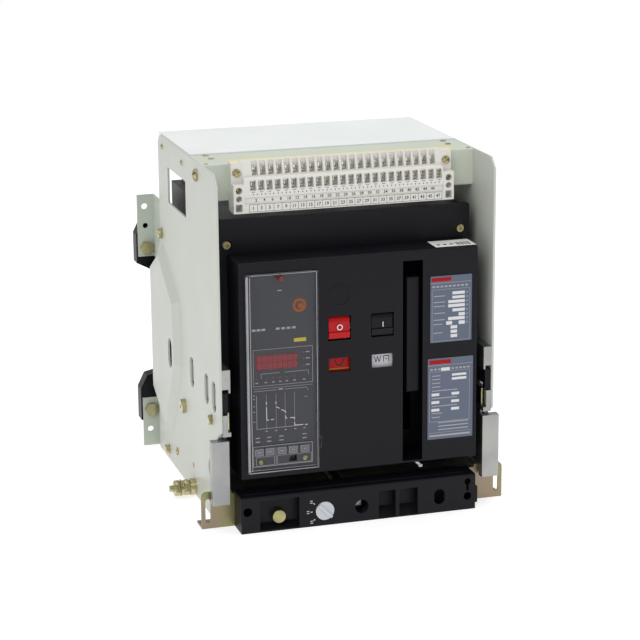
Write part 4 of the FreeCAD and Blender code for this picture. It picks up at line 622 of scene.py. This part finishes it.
# ------------------------ base beam and racking drive
# The black moulded beam holds the racking screw, its steel carriage, a turned brass release
# button and a white dial with a raised bar. Three ticks mark connected, test and withdrawn.
brass = finish(
    "turned_brass", metal, (182, 174, 122), (160, 154, 112), metallic=1.0, Streak=(1, 1, 1),
    Patch=90, Relief=0.2, Roughness=0.34, Rounding=0.0004)
dial_white = finish(
    "dial_moulding", coat, (198, 201, 208), (216, 218, 222), Wear=0.5, Grain=1300, Relief=0.15,
    Mottle=0.05, Roughness=0.35, Rounding=0.0005)
white_ink = printed("white_ink", (214, 215, 218), (220, 220, 224), 0.1)
# Matte black with no specular. It makes a dark ring just inside the release button's edge, and it is the
# painted shade in the key lock's groove.
seam_and_painted_shade = finish(
    "black_seam_and_painted_shade", coat, (3, 3, 5), (20, 20, 22), specular=0.0, Wear=0.2, Grain=900, Relief=0.1,
    Mottle=0.2, Roughness=0.6, Rounding=0.0001)
dress(black_plastic, "base_beam")
dress(bright_steel, "racking_screw", "carriage")
dress(brass, "release_button")
dress(dial_white, "position_dial")


def strokes(lines, y):
    """Thin printed lines, one for each row (x0, z0, x1, z1, width): a slab along the line,
    half a width to each side of it."""
    x0, z0, x1, z1, width = np.array(lines, float).T
    length = np.hypot(x1 - x0, z1 - z0)
    across_x, across_z = -(z1 - z0) / length * width / 2, (x1 - x0) / length * width / 2
    ends = np.stack([np.stack([x + side * across_x, z + side * across_z], -1)
                     for x, z, side in ((x0, z0, -1), (x1, z1, -1), (x1, z1, 1), (x0, z0, 1))], 1)
    points = np.concatenate([np.insert(ends, 1, depth, axis=2) for depth in y], 1)
    face = np.array([(0, 1, 2, 3), (7, 6, 5, 4), (0, 4, 5, 1), (1, 5, 6, 2), (2, 6, 7, 3), (3, 7, 4, 0)])
    return points.reshape(-1, 3), [(np.arange(len(points))[:, None, None] * 8 + face).reshape(-1, 4)]


beam_face = front_of("base_beam")
dial_x, dial_z = -47.4, 18.5
tick_from, tick_long, dash_at = 15.5, 2.4, 21
ticks = []
for angle in (2.5, 3.14, 3.8):
    c, s = math.cos(angle), math.sin(angle)
    ticks.append((dial_x + tick_from * c, dial_z + tick_from * s,
                  dial_x + (tick_from + tick_long) * c, dial_z + (tick_from + tick_long) * s, 1.0))
    x, z = dial_x + dash_at * c, dial_z + dash_at * s
    ticks += [(x - 1.6, z + dz, x + 1.6, z + dz, 0.8) for dz in (-1.2, 1.2)]
piece("dial_scale", [strokes(ticks, (beam_face - 0.01, beam_face + 0.2))], "cradle", white_ink)
button_low, button_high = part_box("release_button")
button_face = front_of("release_button")
button_x = 500 * (button_low.x + button_high.x)
button_z = 500 * (button_low.z + button_high.z)
outer = 500 * (button_high.x - button_low.x) - 1.4
inner = outer - 1.2
rim = [(-0.5, inner), (-0.5, outer), (-0.01, outer), (-0.01, inner), (-0.5, inner)]
piece("release_button_rim", [turned(rim, (button_x, button_face, button_z), "front", 40)],
      "release_button", seam_and_painted_shade)


# ------------------------ pole case and panel
# Two black thermoset mouldings, fine grained. The panel closes the front of the pole case and
# is held by two cross recessed pan head screws.
dress(black_plastic, "pole_case", "body_panel")
dress(brass, "panel_screws")
panel_low, panel_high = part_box("panel_screws")
panel_face = front_of("panel_screws")
screw_radius = 0.0037
panel_parts = []
for x in (panel_low.x + screw_radius, panel_high.x - screw_radius):
    spot = (1000 * x, panel_face + 2.2, 1000 * (panel_high.z - screw_radius))
    panel_parts.append(washer(spot, "front", 4.2, 0.5))
    panel_parts.append(driven(spot, "front", 3.5, 2.0, "cross", turn=0.7, start=0.4))
piece("panel_screw_heads", panel_parts, "breaker", yellow_zinc)


# ------------------------ front cover
# The black moulded cover over the mechanism. Near its top a knock-out for a key lock is only a thin groove,
# drawn as a matte black ring of painted shade, and a white paper sticker with plain bars is on its upper
# face.
dress(black_plastic, "front_cover")
cover_low, cover_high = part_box("front_cover")
cover_top = cover_high.z * 1000
sticker = finish(
    "paper_sticker", coat, (232, 234, 232), (220, 220, 218), specular=0.3, Wear=0.3, Grain=800,
    Relief=0.1, Mottle=0.05, Roughness=0.6, Rounding=0.0001)
cover_face = front_of("front_cover")
paper = (99, 150, cover_face + 9, cover_face + 41, cover_top - 0.1, cover_top + 0.05)
piece("stock_sticker", [tiles([paper])], "breaker", sticker)
code = [(x, x + wide, cover_face + 14, cover_face + 28, cover_top, cover_top + 0.1) for x, wide in
        ((128, 0.8), (130, 1.6), (132.6, 0.6), (134.4, 1.8), (137.2, 0.7), (139, 1.4), (141.6, 0.6),
         (143.2, 1.8))]
code += [(x, x + 4, cover_face + 18, cover_face + 23, cover_top, cover_top + 0.1)
         for x in (104, 112, 120)]
piece("sticker_bars", [tiles(code)], "breaker", ink)
# A matte black ring where the knock-out's groove lies: painted shade.
piece("lock_ring", [turned([(-0.3, 11.4), (-0.3, 12.4), (0.06, 12.4), (0.06, 11.4), (-0.3, 11.4)],
                           (-23.5, 0, 278.6), "front", 48)], "breaker", seam_and_painted_shade)


# ------------------------ trip unit
# A printed film on a dark grey moulding: thin pale lines frame its windows, draw its tripping
# curve and group its lamps. The lamps and the display are lenses set in the film.
film_grey = finish(
    "controller_film", coat, (56, 57, 63), (80, 80, 86), Wear=0.3, Grain=1300, Relief=0.2,
    Mottle=0.08, Roughness=0.4, Rounding=0.0003)
display_red = finish(
    "display_window", coat, (116, 28, 38), (132, 52, 58), specular=0.3, clear_coat=0.4, Wear=0.2,
    Grain=500, Relief=0.05, Mottle=0.2, Roughness=0.2, Rounding=0.0003)
dress(film_grey, "controller_case")
dress(display_red, "display_lens")


def outline_of(x0, x1, z0, z1, width):
    """The four lines of a frame."""
    return [(x0, z0, x1, z0, width), (x1, z0, x1, z1, width),
            (x1, z1, x0, z1, width), (x0, z1, x0, z0, width)]


film_y = (2.93, 3.08)
pale_ink = printed("pale_ink", (160, 161, 166), (160, 160, 164), 0.2)
fine, broad = 0.5, 0.9
legend = outline_of(-128.9, -56.8, 176, 220.2, fine)
legend += [(*line, fine) for line in (
    (-120, 190.8, -97.2, 190.8), (-91.1, 190.8, -61.9, 190.8), (-129, 170, -100.3, 170),
    (-91.9, 170, -64.1, 170), (-67.5, 159.2, -63.1, 158.2))]
legend += [(*line, 0.4) for line in (
    (-128.9, 172.9, -56.8, 172.9), (-120, 190.8, -119, 184.7), (-61.9, 190.8, -61.9, 185.6),
    (-64.1, 170, -62.4, 165.5))]
legend += [(-125.7, 164.8, -125.7, 123.4, 0.6), (-125.7, 123.5, -78.6, 123.5, 0.6)]
legend += [(x, 165.5, x, 123.5, 0.35) for x in (-113.8, -102, -90.9, -79.4)]
bright = [(*line, broad) for line in (
    (-113.7, 156.4, -113.7, 153), (-113.7, 149.7, -113.6, 133.8), (-113.6, 133.8, -111.1, 133.8),
    (-108.6, 134, -104.9, 134), (-102.1, 155.8, -102.1, 152.5), (-102, 149.1, -97.8, 147),
    (-95.6, 145.1, -90.6, 142.6), (-90.6, 142.6, -90.4, 140.7), (-90.5, 137.3, -90.5, 133.9),
    (-90.5, 133.9, -88.5, 134), (-85.2, 134, -79.6, 134), (-79.6, 133.8, -79.6, 131.7),
    (-79.6, 128.3, -79.4, 124.4), (-79.4, 124.2, -69, 124.2), (-66.8, 123.8, -63.4, 123.8))]
dashes = [(x - 1.6, 180, x + 1.6, 180, 1.2) for x in (-125, -114, -104.8, -96.5, -88.5, -79, -67.3)]
dashes += [(-64.8, z, -60.4, z, 1.2) for z in (213.3, 205.6, 197.8)]
dashes += [(-129.8, z, -127.6, z, broad) for z in (165, 160.6, 151.7, 145, 132.7)]
dashes += [(x - 1.4, 120, x + 1.4, 120, 1.1) for x in (-113.8, -102.3, -90.7, -78.8, -67.4)]
dashes += [(x - 2.6, z, x + 2.6, z, 1.2) for x in (-125, -111, -96, -67.5) for z in (112.4, 107.6)]
dashes += [(-98.6, 170.6, -93.6, 170.6, 1.6), (-98.6, 290, -93.4, 290, 1.2)]
dashes += [(x, 244.2, x + 4.4, 244.2, 2.6) for x in (-130, -124.2, -118.4, -101, -94.4, -87.8, -81.4)]
piece("trip_unit_lines", [strokes(legend, film_y), strokes(dashes, film_y)], "breaker", pale_ink)
piece("trip_unit_curve", [strokes(bright, (2.9, 3.12))], "breaker", white_ink)
amber = finish(
    "amber_lens", coat, (96, 74, 74), (112, 96, 96), clear_coat=0.5, Wear=0.3, Grain=900,
    Relief=0.1, Mottle=0.2, Roughness=0.3, Rounding=0.0002)
lamps = [turned([(-0.5, 0), (-0.5, 1.3), (0.35, 1.2), (0.6, 0.7), (0.7, 0)], (x, 3, z), "front", 16)
         for x, z in [(x, 185.3) for x in (-125.5, -113.7, -105.1, -96.7, -88.4, -79.5)]
         + [(-67.6, z) for z in (213.3, 205.6, 197.8)]]
piece("trip_unit_lamps", lamps, "breaker", amber)
# A plain amber roundel with an eccentric ring marks the maker's place; it bears no device.
ring = [(-0.2, 5.2), (-0.2, 8.3), (0.12, 8.3), (0.12, 5.2), (-0.2, 5.2)]
spot = [(-0.2, 0), (-0.2, 3.4), (0.12, 3.4), (0.12, 0)]
roundel = [turned(ring, (-72, 3, 270.5), "front", 32), turned(spot, (-70.6, 3, 269.6), "front", 24)]
piece("trip_unit_roundel", roundel, "breaker",
      printed("orange_ink", (150, 82, 42), (170, 110, 70), 0.25))
piece("trip_unit_label", [tiles([(-79.2, -64.4, 2.9, 3.12, 226.6, 231)])], "breaker",
      printed("yellow_ink", (196, 176, 70), (200, 184, 100), 0.2))
# The display shows nothing while the unit is dead: faint seven-bar figures sit in the red.
bar_wide = 0.6
bars = []
for digit in range(8):
    left = -123.4 + 6.2 * digit
    for foot in (197.6, 205.8):
        bars += [(left + 0.8, foot + dz, left + 3.6, foot + dz, bar_wide) for dz in (0, 5.2, 2.6)]
        bars += [(left + dx, foot + low, left + dx, foot + high, bar_wide)
                 for dx in (0.4, 4.0) for low, high in ((0.3, 2.4), (2.9, 5.0))]
segment = finish(
    "display_segment", coat, (150, 62, 66), (160, 80, 84), Wear=0.2, Grain=900, Relief=0.05,
    Mottle=0.2, Roughness=0.3, Rounding=0.0001)
piece("display_figures", [strokes(bars, (2.75, 2.86))], "breaker", segment)


# ------------------------ key pad and its screws
# Five soft silicone keys stand in a framed panel at the foot of the trip unit, each with a
# printed dash. Two slotted brass screws hold the unit in the cover.
key_grey = finish(
    "key_rubber", coat, (112, 112, 117), (130, 130, 134), Wear=0.4, Grain=1500, Relief=0.2,
    Mottle=0.06, Roughness=0.6, Rounding=0.0004)
dress(key_grey, "key_1", "key_2", "key_3", "key_4", "key_5")
pad_y = (1.42, 1.6)
pad_lines = outline_of(-130.9, -58.4, 77.4, 102.4, 0.7) + outline_of(-127.4, -105.4, 78.4, 89.2, 0.5)
pad_lines += outline_of(-101.5, -59.6, 78.4, 89.2, 0.5) + [(-103.3, 78, -103.3, 100, 0.6)]
for number in range(1, 6):
    key_low, key_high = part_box(f"key_{number}")
    key_face = front_of(f"key_{number}")
    key_x = 500 * (key_low.x + key_high.x)
    key_lines = [(key_x - 2.2, 95, key_x + 2.2, 95, 0.9)]
    key_lines += outline_of(key_x - 4.8, key_x + 4.8, 91.2, 98.8, 0.4)
    piece(f"key_{number}_legend", [strokes(key_lines, (key_face - 0.05, key_face + 0.2))],
          f"key_{number}", pale_ink)
unit_screws = [driven((x, 2.6, z), "front", 2.9, 1.3, "slot", turn)
               for x, z, turn in ((-121.3, 82, 0.2), (-67.2, 82.6, -0.3))]
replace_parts(piece("trip_unit_screws", unit_screws, "breaker", brass), "controller_screws")
piece("key_pad_frame", [strokes(pad_lines, pad_y)], "breaker", pale_ink)


# ------------------------ clear lid
# An injection moulded acrylic lid over the trip unit, with a hinge rod along its left edge and
# a finger catch at the right. It is clear face on and turns opaque grey where seen edge on; pale strips
# laid along its rims are painted highlights, and the hinge rod wears the same highlight colour.
clear = bpy.data.materials.new("clear_acrylic")
clear.use_nodes = True
clear_nodes = clear.node_tree
clear_shader = clear_nodes.nodes["Principled BSDF"]
clear_shader.inputs["Transmission Weight"].default_value = 0.0
clear_shader.inputs["IOR"].default_value = 1.49
clear_shader.inputs["Base Color"].default_value = (0.62, 0.64, 0.68, 1)
haze = noise(clear_nodes, clear_nodes.nodes.new("ShaderNodeTexCoord").outputs["Object"], 0.02, 4)
smear = calc(clear_nodes, "ADD", calc(clear_nodes, "MULTIPLY", haze, 0.16), 0.02)
grazing = clear_nodes.nodes.new("ShaderNodeLayerWeight")
grazing.inputs["Blend"].default_value = 0.5
rim_cover = calc(clear_nodes, "SUBTRACT", grazing.outputs["Facing"], 0.13)
rim_cover = calc(clear_nodes, "MULTIPLY", rim_cover, 0.45)
rim_cover = calc(clear_nodes, "MULTIPLY", rim_cover, calc(clear_nodes, "ADD", haze, 0.5), clamp=True)
wire(clear_nodes, (smear, clear_shader.inputs["Roughness"]), (rim_cover, clear_shader.inputs["Alpha"]))
dress(clear, "clear_lid")
lid_low, lid_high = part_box("clear_lid")
lid_face = front_of("clear_lid")
lid_foot, lid_head = lid_low.z * 1000, lid_high.z * 1000
# Pale grey with near white worn edges and heavy mottle: a painted highlight colour for the lid's rims, not
# the acrylic's own colour.
painted_rim_highlight = finish(
    "acrylic_rim_painted_highlight", coat, (150, 152, 158), (230, 231, 234), clear_coat=0.8, Wear=0.9, Grain=300,
    Relief=0.2, Mottle=1.2, Roughness=0.15, Rounding=0.0003)
# Thin strips just in front of the lid's edges: painted highlights where the rims catch the light.
rims = [(-133.6, lid_foot + 3, -133.6, lid_head - 3, 0.7),
        (-138.2, lid_foot + 3, -138.2, lid_head - 3, 0.4),
        (-133, lid_head - 1, -53, lid_head - 1, 0.5), (-137, lid_foot + 1.2, -53, lid_foot + 1.2, 0.9),
        (-53, lid_foot + 2, -53, lid_head - 1, 0.7), (-137, lid_foot + 4.2, -55, lid_foot + 4.2, 0.4)]
piece("lid_rim_painted_highlights", [strokes(rims, (lid_face - 0.01, lid_face + 0.3))], "clear_lid", painted_rim_highlight)
# The hinge rod is drawn in the same painted highlight colour.
rod = [(lid_foot + 2, 0), (lid_foot + 2, 1.3), (lid_head - 2, 1.3), (lid_head - 2, 0)]
piece("lid_hinge_rod", [turned(rod, (-136.4, lid_face + 1.8, 0), "top", 12)], "clear_lid", painted_rim_highlight)


# ------------------------ push buttons and flags
# Red for off and black for on, each marked with a hot stamped white figure; behind two small
# windows, painted steel flags show whether the contacts are closed and the springs charged.
red_plastic = finish(
    "red_moulding", coat, (176, 8, 14), (192, 52, 50), specular=0.25, Wear=0.4, Grain=1300,
    Relief=0.15, Mottle=0.08, Roughness=0.3, Rounding=0.0006)
dark_red = finish(
    "dark_red_moulding", coat, (112, 20, 28), (140, 50, 52), Wear=0.3, Grain=1300, Relief=0.15,
    Mottle=0.1, Roughness=0.3, Rounding=0.0006)
flag_red = finish(
    "flag_red", coat, (160, 4, 14), (180, 50, 50), specular=0.2, Wear=0.3, Grain=1300, Relief=0.15,
    Mottle=0.08, Roughness=0.4, Rounding=0.0003)
flag_white = finish(
    "flag_white", coat, (190, 191, 196), (210, 210, 214), Wear=0.3, Grain=1300, Relief=0.15,
    Mottle=0.05, Roughness=0.45, Rounding=0.0003)
dress(red_plastic, "off_button")
dress(dark_red, "reset_button")
dress(black_plastic, "on_button")
dress(flag_red, "contact_flag")
dress(flag_white, "charge_flag")
off_face = front_of("off_button")
on_face = front_of("on_button")
ring = [(-0.3, 2.4), (-0.3, 3.6), (0.1, 3.6), (0.1, 2.4), (-0.3, 2.4)]
piece("off_button_mark", [turned(ring, (-23.7, off_face, 240), "front", 28)], "off_button", white_ink)
piece("on_button_mark", [tiles([(29.2, 30.2, on_face - 0.08, on_face + 0.3, 236.5, 242.5)])], "on_button",
      white_ink)
flag_face = front_of("contact_flag")
arc = np.linspace(0.1, np.pi - 0.1, 9)
arch = np.stack([-23.4 - 5.2 * np.cos(arc), 200.4 - 8 * np.sin(arc)], -1)
arch_lines = [(*start, *end, 1.5) for start, end in zip(arch[:-1], arch[1:])]
flag_y = (flag_face - 0.3, flag_face + 0.1)
piece("contact_flag_mark", [strokes(arch_lines, flag_y)], "contact_flag", ink)
flag_yellow = finish(
    "flag_yellow", coat, (150, 116, 34), (170, 140, 60), specular=0.2, Wear=0.3, Grain=1500,
    Relief=0.05, Mottle=0.1, Roughness=0.4, Rounding=0.0001)
piece("contact_flag_line", [strokes([(-38, 188.5, -10.8, 188.5, 1.6)], flag_y)], "contact_flag",
      flag_yellow)
charge_face = front_of("charge_flag")
coil = [(20.5 + 2 * k, 199 - 7 * (k % 2), 22.5 + 2 * k, 192 + 7 * (k % 2), broad) for k in range(4)]
gate = [(*line, broad) for line in ((32, 192, 32, 199), (32, 199, 38.5, 199), (38.5, 199, 38.5, 192),
                                    (34, 195.5, 36.6, 195.5))]
piece("charge_flag_mark", [strokes(coil + gate, (charge_face - 0.1, charge_face + 0.2))], "charge_flag",
      ink)


# ------------------------ data plates
# Two anodised foil plates stuck on the cover: a red heading, a pale title line and boxes for the
# ratings. The boxes carry no figures here.
plate_print = finish(
    "data_plate_foil", coat, (92, 100, 118), (150, 155, 165), metallic=0.35, Wear=0.4, Grain=1500,
    Relief=0.15, Mottle=0.08, Roughness=0.38, Rounding=0.0002)
dress(plate_print, "rating_plate_upper", "rating_plate_lower")


def plate_marks(name, foil, red, pale, white):
    """The print of one plate: a red patch, pale lines, and white boxes (x0, x1, z0, z1)."""
    depth = (front_of(foil) - 0.08, front_of(foil) + 0.2)
    x0, x1, z0, z1 = red
    piece(name + "_heading", [tiles([(x0, x1, *depth, z0, z1)])], "breaker", flag_red)
    piece(name + "_lines", [strokes(pale, depth)], "breaker", pale_ink)
    piece(name + "_boxes", [tiles([(a, b, *depth, c, d) for a, b, c, d in white])], "breaker",
          white_ink)


upper_lines = outline_of(91, 138.5, 212.5, 275.9, 0.4) + [(88.4, 284, 140.6, 284, 0.5)]
upper_lines += [(x, 279.6, x + 3.4, 279.6, 2.0) for x in np.arange(91, 136, 5.2)]
upper_lines += [(92.8, z, 107.2, z, 1.1) for z in (268, 260.6, 255.5, 247.1, 238.8)]
upper_lines += [(92.8, z, 104, z, 1.1) for z in (233.4, 222.8)]
upper_lines += [(134, z, 136.6, z, 1.0) for z in (
    270.6, 265.4, 260.4, 255.2, 249.6, 244.2, 239.4, 233.8)]
upper_boxes = [(116.5, 132.2, 268.9, 272.5), (116.5, 132.2, 263.9, 267.1), (111.3, 132.3, 258.5, 262.1),
               (111.3, 132.3, 253.4, 257.1), (116.7, 132.4, 247.9, 251.5), (124.6, 132.4, 242.3, 246.2),
               (111.2, 132.3, 237.5, 241.4), (108.8, 116.4, 232, 236.2), (124.7, 132.5, 231.7, 236),
               (114.5, 122.8, 226.9, 230.7), (114.6, 122.8, 221.5, 225.3), (114.6, 122.9, 216.1, 220)]
plate_marks("upper_plate", "rating_plate_upper", (89.9, 115, 286, 290.7), upper_lines, upper_boxes)
lower_lines = outline_of(88.5, 139.2, 112, 174.7, 0.4)
lower_lines += [(85.8, 182.5, 143.2, 182.5, 0.5), (88, 98, 141, 98, 0.4)]
lower_lines += [(x, 177.6, x + 3.2, 177.6, 2.0) for x in (89, 94, 99, *np.arange(116, 139, 5.0))]
lower_lines += [(91.3, z, 102, z, 1.1) for z in (169.5, 165.1, 160.4, 155.7)]
lower_lines += [(91.3, z, x, z, 1.1) for z, x in (
    (150.8, 124), (141.4, 123.5), (131.5, 123.5), (122.5, 104.4), (117.5, 101.8))]
lower_lines += [(99.5, z, 138, z, 1.3) for z in (110.5, 106, 101.6)] + [(88, 94.3, 140.7, 94.3, 2.2)]
lower_boxes = [(102.9, 114, 175.3, 179.3), (116.8, 135.1, 168, 170.8), (116.6, 135.2, 163, 166),
               (90.9, 100.7, 144.3, 147.7), (116.4, 126.2, 144.1, 147.5), (90.7, 100.8, 134.7, 138),
               (116, 126.1, 134.7, 138), (90.6, 100.9, 125, 128.4), (115.9, 126.2, 125.2, 128.5)]
plate_marks("lower_plate", "rating_plate_lower", (87.7, 115.3, 184.2, 189.3), lower_lines, lower_boxes)


# ------------------------ charging handle and interlock lever
# The handle is a black glass filled moulding in its slot. A small zinc plated lever and its pin
# hang under the cover's right end, and feel the beam.
dress(black_plastic, "charging_handle")
hang = cover_low.z * 1000
lever = [strokes([(70.5, hang + 2, 79, hang - 6, 3.0)], (5, 7)),
         tiles([(76.6, 81.4, 4.4, 7.6, hang - 8, hang - 5)])]
piece("interlock_lever", lever, "breaker", bright_steel)


# ------------------------ mechanism and motor
# Plated steel side frames carry the cam shaft, the crosshead and the main shaft; a geared motor
# charges the springs, and two black bobbins release them.
dress(bright_steel, "mechanism_frame", "cam_shaft", "crosshead", "main_shaft", "carrier_pin",
      "charging_motor")
dress(black_plastic, "release_coils")


# ------------------------ closing springs
# Two coil springs of oiled spring steel wire, closed and ground at both ends. The crosshead
# presses them down on their seats as the cam shaft charges the mechanism.
spring_low, spring_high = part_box("closing_springs")
wire_radius, coil_radius = 3.0, 10.0
spring_foot, spring_head = spring_low.z * 1000, spring_high.z * 1000
rounds, sides = 9.0, 10
lift = np.linspace(0, 1, 150)
climb = spring_foot + wire_radius + (spring_head - spring_foot - 2 * wire_radius) * lift
around = np.linspace(0, 2 * np.pi, sides, endpoint=False)
spring_shells = []
for x in (-20, 26):
    sweep = 2 * np.pi * rounds * lift
    middle = np.stack([coil_radius * np.cos(sweep), coil_radius * np.sin(sweep), climb], -1)
    outward = np.stack([np.cos(sweep), np.sin(sweep), 0 * sweep], -1)
    tube = (middle[:, None] + wire_radius * np.cos(around)[None, :, None] * outward[:, None]
            + wire_radius * np.sin(around)[None, :, None] * np.array((0, 0, 1.0)))
    tube = np.concatenate([np.repeat(middle[:1, None], sides, 1), tube,
                           np.repeat(middle[-1:, None], sides, 1)])
    spring_shells.append(((tube + (x, 100, 0)).reshape(-1, 3), [lattice(len(tube), sides, True)]))
oiled_steel = finish(
    "oiled_spring_steel", metal, (96, 96, 98), (80, 82, 86), metallic=1.0, Streak=(1, 1, 1),
    Patch=120, Relief=0.1, Roughness=0.32, Rounding=0.0003)
springs = piece("closing_coils", spring_shells, "breaker", oiled_steel, smooth=60)
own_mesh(springs)
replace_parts(springs, "closing_springs")


# ------------------------ contacts, links and braids
# Silver plated copper bars and moving contacts. Brown moulded links drive the contact carriers,
# and braids of fine copper wire join each carrier to its bar.
link_red = finish(
    "moulded_insulator", coat, (120, 48, 34), (150, 84, 66), Wear=0.5, Grain=900, Relief=0.3,
    Mottle=0.2, Roughness=0.5, Rounding=0.0008)
braid_copper = finish(
    "woven_copper", metal, (206, 130, 88), (176, 104, 72), metallic=1.0, Streak=(1, 0.3, 1),
    Patch=120, Relief=0.8, Roughness=0.45, Rounding=0.0005)
dress(silver_plate, "moving_contacts", "breaker_terminals")
dress(link_red, "contact_links")
dress(braid_copper, "flexible_braids")


# ------------------------ arc chutes and current transformers
# The chutes are stacks of plates in pressed board cheeks above the contacts. The transformers
# are rings cast in dark blue resin round the lower bars.
chute_board = finish(
    "pressed_board", coat, (176, 168, 152), (150, 142, 126), Wear=0.7, Grain=700, Relief=0.6,
    Mottle=0.2, Roughness=0.7, Rounding=0.0006)
cast_resin = finish(
    "cast_resin", coat, (44, 52, 70), (70, 78, 96), clear_coat=0.3, Wear=0.4, Grain=400, Relief=0.1,
    Mottle=0.2, Roughness=0.3, Rounding=0.001)
dress(chute_board, "arc_chutes")
dress(cast_resin, "current_transformers")


size = {"cad": [list(corner) for corner in cad_box], "visual": [list(corner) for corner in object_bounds()]}
